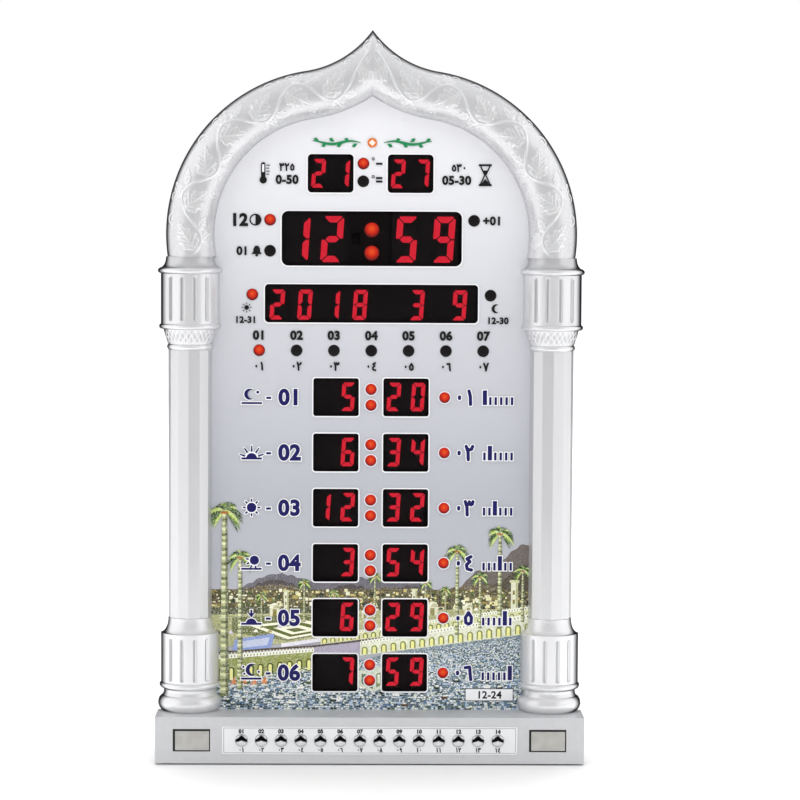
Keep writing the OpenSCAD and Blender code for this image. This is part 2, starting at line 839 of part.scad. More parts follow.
// All seven bars of a digit of height h, cut to mitres where they meet
module digit(h) {
    t = h * bar_share;
    gap = t * gap_share;
    cut = t * corner_share;
    x = h * digit_share / 2;
    z = h / 2;
    in = x - t - gap;
    middle = [[in + t / 2, 0], [in, t / 2], [-in, t / 2], [-in - t / 2, 0], [-in, -t / 2], [in, -t / 2]];
    outer = [[x - cut, z], [x - cut / 2 - gap, z - cut / 2], [in, z - t],
        [-in, z - t], [cut / 2 + gap - x, z - cut / 2], [cut - x, z]];
    upright = [[x, z - cut], [x, gap], [x - t / 2, gap], [x - t, t / 2 + gap], [x - t, z - t - gap],
        [x - cut / 2, z - cut / 2 - gap]];
    bar(middle);
    for (sz = [-1, 1])
        bar(outer, 1, sz);
    for (sx = [-1, 1], sz = [-1, 1])
        bar(upright, sx, sz);
}

module digits(places, h) {
    color("red")
    plate(segment_y, module_y)
        for (p = places)
            translate([p[0], p[1]]) digit(h);
}

module time_segments() {
    digits(time_digits, time_digit_h);
}

module date_segments() {
    digits(date_digits, date_digit_h);
}

module counter_segments() {
    digits(counter_digits, small_digit_h);
}

module row_segments() {
    digits(row_digits, small_digit_h);
}

// Lamps: a round body from the board through the panel, with a shallow dome
module lamps(places, r) {
    dome_r = (r * r + lamp_proud * lamp_proud) / (2 * lamp_proud);
    color("orangered")
    for (p = places)
        translate([p[0], 0, p[1]]) {
            rod(0, 0, r, mould_y, board_y);
            intersection() {
                translate([0, mould_y - lamp_proud + dome_r, 0]) sphere(dome_r);
                rod(0, 0, r, mould_y - lamp_proud - 1, mould_y);
            }
        }
}

module status_leds() {
    lamps(status_lamp_at, lamp_r);
}

module weekday_leds() {
    lamps(day_lamp_at, lamp_r);
}

module row_leds() {
    lamps(row_lamp_at, lamp_r);
}

module row_colon_leds() {
    lamps(row_colon_at, colon_r);
}

module time_colon_leds() {
    lamps(big_colon_at, big_colon_r);
}

// ---------- electronics ----------

module display_board() {
    color("darkgreen")
    difference() {
        plate(board_y, board_back_y) {
            translate([-board_half_w, board_z]) square([2 * board_half_w, board_step_z - board_z]);
            translate([-board_top_half_w, board_step_z - 1])
                square([2 * board_top_half_w, board_top_z - board_step_z + 1]);
        }
        for (s = [-1, 1], p = post_at)
            rod(s * p[0], p[1], pass_r, board_y - 1, board_back_y + 1);
    }
}

controller_drop = 60;
controller_at = [0, day_z - controller_drop];
chip_w = 14;
chip_t = 1.6;

module controller_chip() {
    color([0.1, 0.1, 0.1])
    translate([controller_at[0] - chip_w / 2, board_back_y, controller_at[1] - chip_w / 2])
        cube([chip_w, chip_t, chip_w]);
}

receiver_x = -9.5;
receiver_w = 5;
receiver_d = 4;
receiver_h = 7;
receiver_lens_r = 2;

// Receiver for a remote control's light, behind the time window
module ir_receiver() {
    color([0.1, 0.1, 0.1])
    translate([receiver_x, board_y - receiver_d, time_z]) {
        translate([-receiver_w / 2, 0, -receiver_h / 2]) cube([receiver_w, receiver_d, receiver_h]);
        intersection() {
            sphere(receiver_lens_r);
            translate([-receiver_w / 2, -receiver_d, -receiver_w / 2])
                cube([receiver_w, receiver_d, receiver_w]);
        }
    }
}

cell_x = -50;
cell_drop = 40;
cell_at = [cell_x, day_z - cell_drop];
cell_r = 10;
cell_t = 3.2;
cell_y = board_back_y + 1;
cell_proud = 0.7;
holder_wall = 2;
holder_notch = 8;

module cell_holder() {
    color("ivory")
    difference() {
        rod(cell_at[0], cell_at[1], cell_r + holder_wall, board_back_y, cell_y + cell_t - cell_proud);
        rod(cell_at[0], cell_at[1], cell_r + fit, cell_y, cell_y + cell_t);
        translate([cell_at[0] - holder_notch / 2, cell_y, cell_at[1] - cell_r - holder_wall - 1])
            cube([holder_notch, cell_t, holder_notch]);
    }
}

module coin_cell() {
    color("silver")
    rod(cell_at[0], cell_at[1], cell_r, cell_y, cell_y + cell_t);
}

module button_board() {
    color("darkgreen")
    difference() {
        translate([-button_board_half_w, button_board_y, button_z - button_board_h / 2])
            cube([2 * button_board_half_w, board_t, button_board_h]);
        for (s = [-1, 1])
            rod(s * button_post_x, button_z, pass_r, button_board_y - 1, button_board_y + board_t + 1);
    }
}

module tact_switches() {
    color([0.1, 0.1, 0.1])
    for (x = button_xs)
        translate([x, 0, button_z]) {
            translate([-switch_w / 2, switch_y, -switch_w / 2]) cube([switch_w, switch_d, switch_w]);
            rod(0, 0, 1.7, plunger_y, switch_y);
        }
}

// Flat cable from the button board, through the frame and up to the display board
module ribbon_cable() {
    start_y = button_board_y + board_t;
    turn_y = board_back_y + 3;
    color("gainsboro")
    translate([ribbon_x - ribbon_w / 2, 0, 0]) {
        translate([0, start_y, ribbon_z - ribbon_t / 2]) cube([ribbon_w, turn_y - start_y, ribbon_t]);
        translate([0, turn_y - ribbon_t, ribbon_z - ribbon_t / 2])
            cube([ribbon_w, ribbon_t, ribbon_top_z - ribbon_z + ribbon_t]);
        translate([0, board_back_y, ribbon_top_z - ribbon_t / 2])
            cube([ribbon_w, turn_y - board_back_y, ribbon_t]);
    }
}

// Loudspeaker that faces the grille: rim, basket and magnet
module speaker() {
    basket_y = cover_in_y - speaker_rim - 3;
    magnet_y = board_back_y + 1;
    color("black") {
        rod(0, speaker_z, speaker_r, cover_in_y - speaker_rim, cover_in_y);
        rod(0, speaker_z, speaker_neck_r, basket_y, cover_in_y - speaker_rim);
        rod(0, speaker_z, magnet_r, magnet_y, basket_y);
    }
}

wire_r = 0.6;
wire_half = 2;                // half the distance between the wires of a pair

module speaker_wires() {
    wire_y = cover_in_y - speaker_rim - speaker_ring_lip - loose - wire_r;
    foot_z = speaker_z + speaker_neck_r;
    top_z = speaker_z + speaker_r + speaker_wire_rise;
    color("crimson")
    for (s = [-1, 1])
        translate([s * wire_half, 0, 0]) {
            translate([0, wire_y, foot_z]) cylinder(r = wire_r, h = top_z - foot_z);
            translate([0, wire_y, top_z]) sphere(wire_r);
            rod(0, top_z, wire_r, board_back_y, wire_y);
        }
}

module dc_jack() {
    color("black")
    difference() {
        union() {
            translate([jack_x - jack_l, jack_y - jack_d / 2, jack_z - jack_h / 2])
                cube([jack_l, jack_d, jack_h]);
            translate([jack_x, jack_y, jack_z])
                rotate([0, 90, 0])
                cylinder(r = jack_nose_r, h = cover_t - 0.2);
        }
        translate([jack_x - jack_l + 3, jack_y, jack_z])
        rotate([0, 90, 0])
        difference() {
            cylinder(r = jack_bore_r, h = jack_l);
            translate([0, 0, -1]) cylinder(r = jack_pin_r, h = jack_l - 1);
        }
    }
}

module power_wires() {
    start_x = board_half_w - 6;
    wire_y = board_back_y + wire_r + 1.6;
    color("crimson")
    for (s = [-1, 1])
        translate([0, 0, jack_z + s * wire_half]) {
            translate([start_x, wire_y, 0])
                rotate([0, 90, 0])
                cylinder(r = wire_r, h = jack_x - jack_l - start_x);
            translate([start_x, wire_y, 0]) sphere(wire_r);
            rod(start_x, 0, wire_r, board_back_y, wire_y);
        }
}

// ---------- screws ----------

// A pan-head screw along Y with its head towards the rear
module screw(x, z, seat_y, length) {
    rod(x, z, head_r, seat_y, seat_y + head_h);
    rod(x, z, screw_r, seat_y - length, seat_y);
}

module moulding_screws() {
    color("silver")
    for (s = [-1, 1], p = moulding_screw_at)
        if (s > 0 || p[0] != 0)
            screw(s * p[0], p[1], frame_back_y, frame_d + screw_bite);
}

module cover_screws() {
    color("silver")
    for (s = [-1, 1], p = cover_screw_at)
        screw(s * p[0], p[1], pillar_shelf_y, pillar_shelf_y - mould_y - cover_bite);
}

module board_screws() {
    color("silver")
    for (s = [-1, 1]) {
        for (p = post_at)
            screw(s * p[0], p[1], board_back_y, board_t + post_bite);
        screw(s * button_post_x, button_z, button_board_y + board_t, board_t + 4);
    }
}

// ---------- one line for each node ----------

arch_crown();
capital_left();
capital_right();
column_left();
column_right();
column_base_left();
column_base_right();
plinth();
inset_plates();
button_strip();
panel_frame();
front_panel();
time_window();
date_window();
counter_windows();
row_windows();
time_display();
date_display();
counter_displays();
row_displays();
time_segments();
date_segments();
counter_segments();
row_segments();
status_leds();
weekday_leds();
row_leds();
row_colon_leds();
time_colon_leds();
display_board();
controller_chip();
ir_receiver();
cell_holder();
coin_cell();
button_board();
tact_switches();
ribbon_cable();
speaker();
speaker_wires();
dc_jack();
power_wires();
back_cover();
moulding_screws();
cover_screws();
board_screws();
button(0);  // button_01
button(1);  // button_02
button(2);  // button_03
button(3);  // button_04
button(4);  // button_05
button(5);  // button_06
button(6);  // button_07
button(7);  // button_08
button(8);  // button_09
button(9);  // button_10
button(10);  // button_11
button(11);  // button_12
button(12);  // button_13
button(13);  // button_14
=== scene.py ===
"""Looks of the call-to-prayer clock: silver mouldings, printed face, displays, lamps, buttons and case.

Sizes inside this script are in millimetres and become metres where a mesh is made.
The face looks towards -Y. The moulding plane is the flat plane that the mouldings and the panel share.
"""

import math
import random

import bmesh
import bpy
import numpy as np
from mathutils import Matrix, Vector
from mathutils.geometry import tessellate_polygon


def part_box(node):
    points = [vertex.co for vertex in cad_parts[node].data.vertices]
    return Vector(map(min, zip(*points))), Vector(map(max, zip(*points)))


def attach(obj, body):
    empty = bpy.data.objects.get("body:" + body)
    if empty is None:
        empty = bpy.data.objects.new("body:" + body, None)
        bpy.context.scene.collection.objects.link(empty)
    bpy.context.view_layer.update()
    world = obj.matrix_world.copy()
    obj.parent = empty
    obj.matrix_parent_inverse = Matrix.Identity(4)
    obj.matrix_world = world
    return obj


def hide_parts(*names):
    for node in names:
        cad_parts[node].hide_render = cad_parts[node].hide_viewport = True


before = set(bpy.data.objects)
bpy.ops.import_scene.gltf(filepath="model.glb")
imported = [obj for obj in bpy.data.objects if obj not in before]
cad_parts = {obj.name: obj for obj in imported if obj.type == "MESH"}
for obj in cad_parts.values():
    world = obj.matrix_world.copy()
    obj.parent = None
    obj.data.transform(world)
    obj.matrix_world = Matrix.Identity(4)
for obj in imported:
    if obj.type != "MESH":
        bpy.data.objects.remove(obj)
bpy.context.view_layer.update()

MM = 0.001                          # a millimetre in metres
METRE = 1000                        # a metre in millimetres
CASE = "case"
WELD = 0.00002                      # points closer than this, in metres, become one
FLAT_ANGLE = math.radians(0.5)      # facets that turn less than this are one face
TURNED_SHARP = math.radians(38)     # edges sharper than these stay crisp
LATHE_SHARP = math.radians(40)
LAMP_SHARP = math.radians(50)


# ---------- places read from the frame ----------

def corners(node):
    """Lowest and highest corner of a CAD node in millimetres."""
    low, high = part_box(node)
    return Vector(low) / MM, Vector(high) / MM


def middle(node):
    """Middle of a CAD node's box in millimetres."""
    low, high = corners(node)
    return (low + high) / 2


PLANE_Y = corners("front_panel")[0].y
PLINTH_FRONT_Y = corners("button_strip")[0].y
PLINTH_TOP_Z = corners("plinth")[1].z
COLUMN_X = middle("column_right").x
CAPITAL_Z = corners("capital_right")[0].z
SPRING_Z = corners("capital_right")[1].z
BOARD_FRONT_Y = corners("display_board")[0].y

# ---------- sizes of the mouldings ----------

ARCH_R = 85.0                       # middle line of the arch's main curve
ARCH_STILT = 13.4                   # from the capitals up to the centre of that curve
ARCH_TURN = math.radians(81)        # how far it turns before the reverse curve starts
OGEE_R = 75.6                       # middle line of the reverse curve
ARCH_HALF_W = 14.5
MOULDING_T = 2.4                    # wall of the hollow mouldings
LEAST_BORE_R = 4.0
SHAFT_R = 13.1
DRUM_R = 17.6                       # fluted part of the capitals and bases
ARCH_Z = SPRING_Z + ARCH_STILT
ARCH_X = COLUMN_X - ARCH_R
OGEE_X = ARCH_X + (ARCH_R + OGEE_R) * math.cos(ARCH_TURN)
OGEE_Z = ARCH_Z + (ARCH_R + OGEE_R) * math.sin(ARCH_TURN)

# ---------- places on the panel ----------

TIME_Z = middle("time_window").z
DATE_Z = middle("date_window").z
COUNTER_Z = middle("counter_windows").z
DAY_Z = middle("weekday_leds").z
DAY_STEP = 22.6
DAYS = 7
ROWS = 6
ROW_STEP = 33.66
TOP_ROW_Z = middle("row_windows").z + ROW_STEP * (ROWS - 1) / 2
ROW_ZS = [TOP_ROW_Z - i * ROW_STEP for i in range(ROWS)]
SMALL_X = 21.2
SMALL_W = 27.6
SMALL_H = 23.1
COUNTER_XS = (-25.0, 23.2)
TIME_W = 108.8
TIME_H = 33.0
DATE_W = 128.9
DATE_H = 23.2
ROW_LAMP_X = middle("row_leds").x
LAMP_R = 3.45
COLON_R = 3.6
COLON_HALF = 4.8                    # from a row's middle to each lamp of its colon
BIG_COLON_R = 4.5
BIG_COLON_HALF = 7.0
BIG_COLON_DROP = 1.7
LAMP_PROUD = 1.5                    # height of a lamp's dome over the panel

# ---------- places on the plinth ----------

BUTTONS = 14
BUTTON_STEP = 11.84
BUTTON_Z = PLINTH_TOP_Z / 2
BUTTON_R = 3.6
BUTTON_PROUD = 1.8
BUTTON_SKIRT = 2.8                  # from the plinth's face back to the button's flange
BUTTON_FLANGE_R = 4.6
BUTTON_FLANGE_T = 0.8
BUTTON_STEM_R = 1.6
BUTTON_STEM = 1.0


# ---------- meshes ----------

def put_in_scene(name, data):
    """An object in the scene that holds a mesh, a curve, a light or a camera."""
    obj = bpy.data.objects.new(name, data)
    bpy.context.scene.collection.objects.link(obj)
    return obj


def make_object(name, points, faces, material, smooth=True):
    """A mesh from points in millimetres."""
    mesh = bpy.data.meshes.new(name)
    mesh.from_pydata([tuple(c * MM for c in p) for p in points], [], [tuple(f) for f in faces])
    mesh.materials.append(material)
    mesh.validate()
    mesh.update()
    for polygon in mesh.polygons:
        polygon.use_smooth = smooth
    return put_in_scene(name, mesh)


def outward(obj):
    """Turns all faces of a closed mesh outwards."""
    mesh = bmesh.new()
    mesh.from_mesh(obj.data)
    bmesh.ops.recalc_face_normals(mesh, faces=mesh.faces)
    mesh.to_mesh(obj.data)
    mesh.free()


def hand_over(obj, slot, *nodes, body=CASE):
    """Puts a finished piece on its body, in place of its CAD nodes."""
    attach(obj, body)
    if nodes:
        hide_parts(*nodes)


def dress(node, material, slot, bevel=0.3, segments=2, body=CASE, angle=30):
    """A copy of a CAD node with rounded edges and its own finish."""
    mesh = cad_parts[node].data.copy()
    mesh.name = node + "_look"
    mesh.materials.clear()
    mesh.materials.append(material)
    edit = bmesh.new()
    edit.from_mesh(mesh)
    bmesh.ops.remove_doubles(edit, verts=edit.verts, dist=WELD)
    bmesh.ops.dissolve_limit(edit, angle_limit=FLAT_ANGLE, verts=edit.verts, edges=edit.edges)
    for face in edit.faces:
        face.smooth = True
        face.material_index = 0
    edit.to_mesh(mesh)
    edit.free()
    obj = put_in_scene(node + "_look", mesh)
    if bevel:
        rounding = obj.modifiers.new("rounding", "BEVEL")
        rounding.width = bevel * MM
        rounding.segments = segments
        rounding.limit_method = "ANGLE"
        rounding.angle_limit = math.radians(angle)
        rounding.harden_normals = True
        rounding.use_clamp_overlap = True
    mesh.set_sharp_from_angle(angle=math.radians(angle))
    hand_over(obj, slot, node, body=body)
    return obj


def swept_grid(rows, closed=False):
    """Points and quads of a grid given as rows of points."""
    points = [p for row in rows for p in row]
    across = len(rows[0])
    faces = []
    for i in range(len(rows) - 1):
        for j in range(across - 1 + int(closed)):
            k = (j + 1) % across
            faces.append((i * across + j, i * across + k, (i + 1) * across + k, (i + 1) * across + j))
    return points, faces


def half_turned(name, x, z, profile, material, steps=96, shift=None):
    """A front half turned about an upright axis, hollow behind, from a profile of (radius, height).
    shift(angle, height) says how far the outside stands proud of the profile."""
    inner_r = max(LEAST_BORE_R, min(r for r, h in profile) - MOULDING_T)
    low, high = profile[0][1], profile[-1][1]
    loop = [(r, h, True) for r, h in profile] + [(inner_r, high, False), (inner_r, low, False)]
    rows = []
    for i in range(steps + 1):
        a = math.pi * i / steps
        row = []
        for r, h, outside in loop:
            push = shift(a, h) if shift and outside else 0.0
            row.append((x - (r + push) * math.cos(a), PLANE_Y - (r + push) * math.sin(a), z + h))
        rows.append(row)
    points, faces = swept_grid(rows, closed=True)
    across = len(loop)
    faces.append(tuple(range(across)))
    faces.append(tuple(steps * across + j for j in reversed(range(across))))
    obj = make_object(name, points, faces, material)
    outward(obj)
    obj.data.set_sharp_from_angle(angle=TURNED_SHARP)
    return obj


def arc_points(cx, cz, r, start, end, count):
    """Points of an arc, angles in degrees."""
    out = []
    for i in range(count + 1):
        a = math.radians(start + (end - start) * i / count)
        out.append((cx + r * math.cos(a), cz + r * math.sin(a)))
    return out


def bead(r, low, high, swell, count=10):
    """Profile of a bead that swells out to the radius r."""
    half = (high - low) / 2
    big = (half * half + swell * swell) / (2 * swell)
    a = math.degrees(math.asin(half / big))
    return arc_points(r - big, (low + high) / 2, big, -a, a, count)


def cove(start, end, count=8):
    """Profile of a hollow curve that is upright at its end."""
    out = []
    for i in range(count + 1):
        a = math.radians(90 * i / count)
        r = end[0] + (start[0] - end[0]) * (1 - math.sin(a))
        h = start[1] + (end[1] - start[1]) * (1 - math.cos(a))
        out.append((r, h))
    return out


def straight(start, end, count):
    """Profile of a straight side with points in between."""
    return [(start[0] + (end[0] - start[0]) * i / count, start[1] + (end[1] - start[1]) * i / count)
            for i in range(count + 1)]


# ---------- materials ----------

def new_material(name):
    """A material with its principled shader and a place to read object coordinates from."""
    material = bpy.data.materials.new(name)
    material.use_nodes = True
    nodes = material.node_tree.nodes
    links = material.node_tree.links
    shader = nodes["Principled BSDF"]
    where = nodes.new("ShaderNodeTexCoord").outputs["Object"]
    return material, nodes, links, shader, where


def noise_map(nodes, links, where, scale, detail=3.0, roughness=0.5):
    """Fine even noise; the scale counts waves per metre."""
    noise = nodes.new("ShaderNodeTexNoise")
    noise.inputs["Scale"].default_value = scale
    noise.inputs["Detail"].default_value = detail
    noise.inputs["Roughness"].default_value = roughness
    links.new(where, noise.inputs["Vector"])
    return noise.outputs["Fac"]


def spread(nodes, links, value, low, high, start=0.3, end=0.7):
    """Maps a noise value to the range from low to high."""
    ramp = nodes.new("ShaderNodeMapRange")
    ramp.inputs["From Min"].default_value = start
    ramp.inputs["From Max"].default_value = end
    ramp.inputs["To Min"].default_value = low
    ramp.inputs["To Max"].default_value = high
    links.new(value, ramp.inputs["Value"])
    return ramp.outputs["Result"]


def colour_mix(nodes, links, value, blend="MIX"):
    """A node that goes from its colour A to its colour B as the value goes from 0 to 1."""
    mix = nodes.new("ShaderNodeMix")
    mix.data_type = "RGBA"
    mix.blend_type = blend
    links.new(value, mix.inputs["Factor"])
    return mix


def blend_colours(nodes, links, value, dark, light):
    """A colour between two others."""
    mix = colour_mix(nodes, links, value)
    mix.inputs["A"].default_value = (*dark, 1)
    mix.inputs["B"].default_value = (*light, 1)
    return mix.outputs["Result"]


def laid_over(nodes, links, under, value, colour, blend="MIX"):
    """A colour laid over another where the value is 1."""
    mix = colour_mix(nodes, links, value, blend)
    mix.inputs["B"].default_value = (*colour, 1)
    links.new(under, mix.inputs["A"])
    return mix.outputs["Result"]


def colour_stops(nodes, links, value, stops):
    """A colour that runs through (place, colour) stops as the value goes from 0 to 1."""
    ramp = nodes.new("ShaderNodeValToRGB")
    elements = ramp.color_ramp.elements
    for element, (place, colour) in zip(elements, (stops[0], stops[-1])):
        element.position = place
        element.color = (*colour, 1)
    for place, colour in stops[1:-1]:
        elements.new(place).color = (*colour, 1)
    links.new(value, ramp.inputs["Fac"])
    return ramp.outputs["Color"]


def along_axis(nodes, links, where, axis):
    """The object coordinate along one axis, in metres."""
    parts = nodes.new("ShaderNodeSeparateXYZ")
    links.new(where, parts.inputs["Vector"])
    return parts.outputs[axis]


def add_bump(nodes, links, shader, height, strength, distance):
    """Fine unevenness of a surface; the distance is in metres."""
    bump = nodes.new("ShaderNodeBump")
    bump.inputs["Strength"].default_value = strength
    bump.inputs["Distance"].default_value = distance
    links.new(height, bump.inputs["Height"])
    links.new(bump.outputs["Normal"], shader.inputs["Normal"])
    return bump


def finish(name, dark, light, roughness, metallic=0.0, grain=600.0, bump=0.15, depth=0.00003, coat=0.0):
    """A finish with slight, even variation of colour, gloss and surface."""
    material, nodes, links, shader, where = new_material(name)
    cloud = noise_map(nodes, links, where, grain / 12)
    speck = noise_map(nodes, links, where, grain, 4.0)
    links.new(blend_colours(nodes, links, spread(nodes, links, cloud, 0, 1), dark, light),
              shader.inputs["Base Color"])
    links.new(spread(nodes, links, speck, roughness[0], roughness[1]), shader.inputs["Roughness"])
    shader.inputs["Metallic"].default_value = metallic
    shader.inputs["Coat Weight"].default_value = coat
    if bump:
        add_bump(nodes, links, shader, speck, bump, depth)
    return material


def point_value(nodes, name):
    """A value that a piece carries at its points."""
    attribute = nodes.new("ShaderNodeAttribute")
    attribute.attribute_name = name
    return attribute.outputs["Fac"]


def joined(nodes, links, operation, first, second):
    """Two values joined by an operation such as MULTIPLY or MAXIMUM."""
    step = nodes.new("ShaderNodeMath")
    step.operation = operation
    links.new(first, step.inputs[0])
    links.new(second, step.inputs[1])
    return step.outputs["Value"]


def product(nodes, links, first, second):
    """One value times another."""
    return joined(nodes, links, "MULTIPLY", first, second)


# The plain silver, and the paler silver that raised relief is painted with as a highlight, which leaves the
# ground between darker as painted shade
GROUND_SILVER = (0.78, 0.78, 0.795)
RELIEF_HIGHLIGHT_SILVER = (0.94, 0.94, 0.95)
# White flecks painted on the stippled ground as glints
GLINT_SILVER = (1.0, 1.0, 1.0)
# Painted shade in the left half of each flute, in the ground of a carved neck and on a capital's collar
PAINTED_SHADE_SILVER = (0.50, 0.50, 0.52)
# A painted dark reflection on the outer side of the mouldings, where they turn to grazing
DARK_REFLECTION_SILVER = (0.03, 0.03, 0.035)


def moulding_silver():
    """Satin silver paint on moulded plastic, with painted light: raised relief painted bright as a
    highlight over a darker ground, painted glints on the stippled ground, painted shade in the flutes and a
    painted dark reflection on the outer edges.
    """
    material, nodes, links, shader, where = new_material("moulding_silver")
    stipple = point_value(nodes, "stipple")
    cloud = noise_map(nodes, links, where, 45)
    speck = noise_map(nodes, links, where, 800, 4.0)
    grain = noise_map(nodes, links, where, 5200, 2.0)
    # raised relief is painted paler as a highlight; the lower ground stays darker as painted shade
    colour = blend_colours(nodes, links, point_value(nodes, "relief"), GROUND_SILVER, RELIEF_HIGHLIGHT_SILVER)
    # painted glints: white flecks on the stippled ground, which also gets a real bump below
    painted_glints = product(nodes, links, spread(nodes, links, speck, 0, 1, 0.54, 0.62), stipple)
    colour = laid_over(nodes, links, colour, painted_glints, GLINT_SILVER)
    # painted shade in the flutes, the neck carving and the collar
    colour = laid_over(nodes, links, colour, point_value(nodes, "painted_shade"), PAINTED_SHADE_SILVER)
    # painted dark reflection: the outer side darkens where the surface turns to grazing
    weight = nodes.new("ShaderNodeLayerWeight")
    weight.inputs["Blend"].default_value = 0.5
    turned = spread(nodes, links, weight.outputs["Facing"], 0, 1, 0.42, 0.68)
    edge = product(nodes, links, turned, point_value(nodes, "outer"))
    colour = laid_over(nodes, links, colour, edge, DARK_REFLECTION_SILVER)
    links.new(colour, shader.inputs["Base Color"])
    links.new(spread(nodes, links, cloud, 0.30, 0.37), shader.inputs["Roughness"])
    shader.inputs["Metallic"].default_value = 0.66
    shader.inputs["Specular Tint"].default_value = (0.30, 0.30, 0.31, 1)
    fine = add_bump(nodes, links, shader, grain, 0.12, 0.00004)
    coarse = nodes.new("ShaderNodeBump")
    coarse.inputs["Distance"].default_value = 0.00022
    links.new(stipple, coarse.inputs["Strength"])
    links.new(speck, coarse.inputs["Height"])
    links.new(coarse.outputs["Normal"], fine.inputs["Normal"])
    return material


# Heights in metres where the sheet is greyest and palest, and its colours in between
SHEET_GREY_Z = 0.16
SHEET_PALE_Z = 0.40
SHEET_STOPS = ((0.0, (0.47, 0.48, 0.525)), (0.45, (0.61, 0.62, 0.66)), (1.0, (0.90, 0.90, 0.925)))


def printed_face():
    """The panel's print: a pale sheet that turns greyer towards its foot."""
    material, nodes, links, shader, where = new_material("printed_face")
    level = spread(nodes, links, along_axis(nodes, links, where, "Z"), 0, 1, SHEET_GREY_Z, SHEET_PALE_Z)
    links.new(colour_stops(nodes, links, level, SHEET_STOPS), shader.inputs["Base Color"])
    speck = noise_map(nodes, links, where, 900)
    links.new(spread(nodes, links, speck, 0.38, 0.46), shader.inputs["Roughness"])
    add_bump(nodes, links, shader, speck, 0.05, 0.00002)
    shader.inputs["Specular IOR Level"].default_value = 0.3
    return material


DARK_SCREEN = (0.20, 0.21, 0.16)
PALE_SCREEN = (0.96, 0.96, 0.88)


def printed_ink():
    """Ink laid on the panel; each patch carries its own colour and how coarse its screening is."""
    material, nodes, links, shader, where = new_material("printed_ink")
    ink = nodes.new("ShaderNodeAttribute")
    ink.attribute_name = "ink"
    grit = point_value(nodes, "grit")
    coarse = spread(nodes, links, noise_map(nodes, links, where, 620, 5.0, 0.65), 0, 1, 0.36, 0.64)
    dark_dots = product(nodes, links, coarse, grit)
    shade = laid_over(nodes, links, ink.outputs["Color"], dark_dots, DARK_SCREEN, "MULTIPLY")
    fine = spread(nodes, links, noise_map(nodes, links, where, 1100, 4.0, 0.6), 0, 1, 0.50, 0.64)
    pale_dots = product(nodes, links, fine, grit)
    links.new(laid_over(nodes, links, shade, pale_dots, PALE_SCREEN), shader.inputs["Base Color"])
    shader.inputs["Specular IOR Level"].default_value = 0.3
    links.new(spread(nodes, links, coarse, 0.38, 0.48, 0, 1), shader.inputs["Roughness"])
    return material


def dark_filter():
    """Smoked red acrylic over the displays: clear enough for lit bars, dark for the rest."""
    material, nodes, links, shader, where = new_material("dark_filter")
    clear = nodes.new("ShaderNodeBsdfTransparent")
    clear.inputs["Color"].default_value = (0.60, 0.58, 0.59, 1)
    haze = noise_map(nodes, links, where, 300)
    shader.inputs["Base Color"].default_value = (0.02, 0.016, 0.016, 1)
    links.new(spread(nodes, links, haze, 0.10, 0.16), shader.inputs["Roughness"])
    mix = nodes.new("ShaderNodeMixShader")
    sheen = nodes.new("ShaderNodeFresnel")
    sheen.inputs["IOR"].default_value = 1.3
    links.new(sheen.outputs["Fac"], mix.inputs["Fac"])
    links.new(clear.outputs["BSDF"], mix.inputs[1])
    links.new(shader.outputs["BSDF"], mix.inputs[2])
    links.new(mix.outputs["Shader"], nodes["Material Output"].inputs["Surface"])
    return material


def glowing(name, dark, light, strength, grain=900.0):
    """A lit diffuser with slight unevenness."""
    material, nodes, links, shader, where = new_material(name)
    patch = noise_map(nodes, links, where, grain)
    colour = blend_colours(nodes, links, spread(nodes, links, patch, 0, 1), dark, light)
    links.new(colour, shader.inputs["Emission Color"])
    shader.inputs["Emission Strength"].default_value = strength
    shader.inputs["Base Color"].default_value = (0.10, 0.01, 0.015, 1)
    shader.inputs["Roughness"].default_value = 0.4
    return material


# Colours of a lit lamp from its painted highlight, a little above its middle, to its rim, which is darkened
# as painted shade
LAMP_HIGHLIGHT_STOPS = (
    (0.0, (0.88, 0.125, 0.022)), (0.32, (0.80, 0.062, 0.012)), (0.66, (0.62, 0.020, 0.007)),
    (0.88, (0.30, 0.008, 0.004)), (1.0, (0.10, 0.003, 0.002)),
)


def lit_lamp():
    """A round red lamp that glows, with a painted highlight that glows orange a little above its middle and
    painted shade that darkens it to its rim.
    """
    material, nodes, links, shader, where = new_material("lit_lamp")
    glow = colour_stops(nodes, links, point_value(nodes, "rim"), LAMP_HIGHLIGHT_STOPS)
    links.new(glow, shader.inputs["Emission Color"])
    shader.inputs["Emission Strength"].default_value = 0.84
    shader.inputs["Specular IOR Level"].default_value = 0.15
    shader.inputs["Base Color"].default_value = (0.07, 0.003, 0.002, 1)
    patch = noise_map(nodes, links, where, 700)
    links.new(spread(nodes, links, patch, 0.10, 0.18), shader.inputs["Roughness"])
    return material


def second_colour(material, value, colour):
    """Lays another colour over a finish's own where the value is 1."""
    nodes, links = material.node_tree.nodes, material.node_tree.links
    base = nodes["Principled BSDF"].inputs["Base Color"]
    links.new(laid_over(nodes, links, base.links[0].from_socket, value, colour), base)


def masked_board():
    """A green circuit board whose front is masked black, so that nothing shows between displays."""
    dark, light = (0.010, 0.075, 0.030), (0.018, 0.12, 0.05)
    material = finish("board_green", dark, light, (0.45, 0.55), 0.0, 1500, 0.1)
    nodes, links = material.node_tree.nodes, material.node_tree.links
    depth = along_axis(nodes, links, nodes["Texture Coordinate"].outputs["Object"], "Y")
    start, end = (BOARD_FRONT_Y + 0.1) * MM, (BOARD_FRONT_Y + 0.2) * MM
    front = spread(nodes, links, depth, 1, 0, start, end)
    second_colour(material, front, (0.095, 0.094, 0.094))
    return material


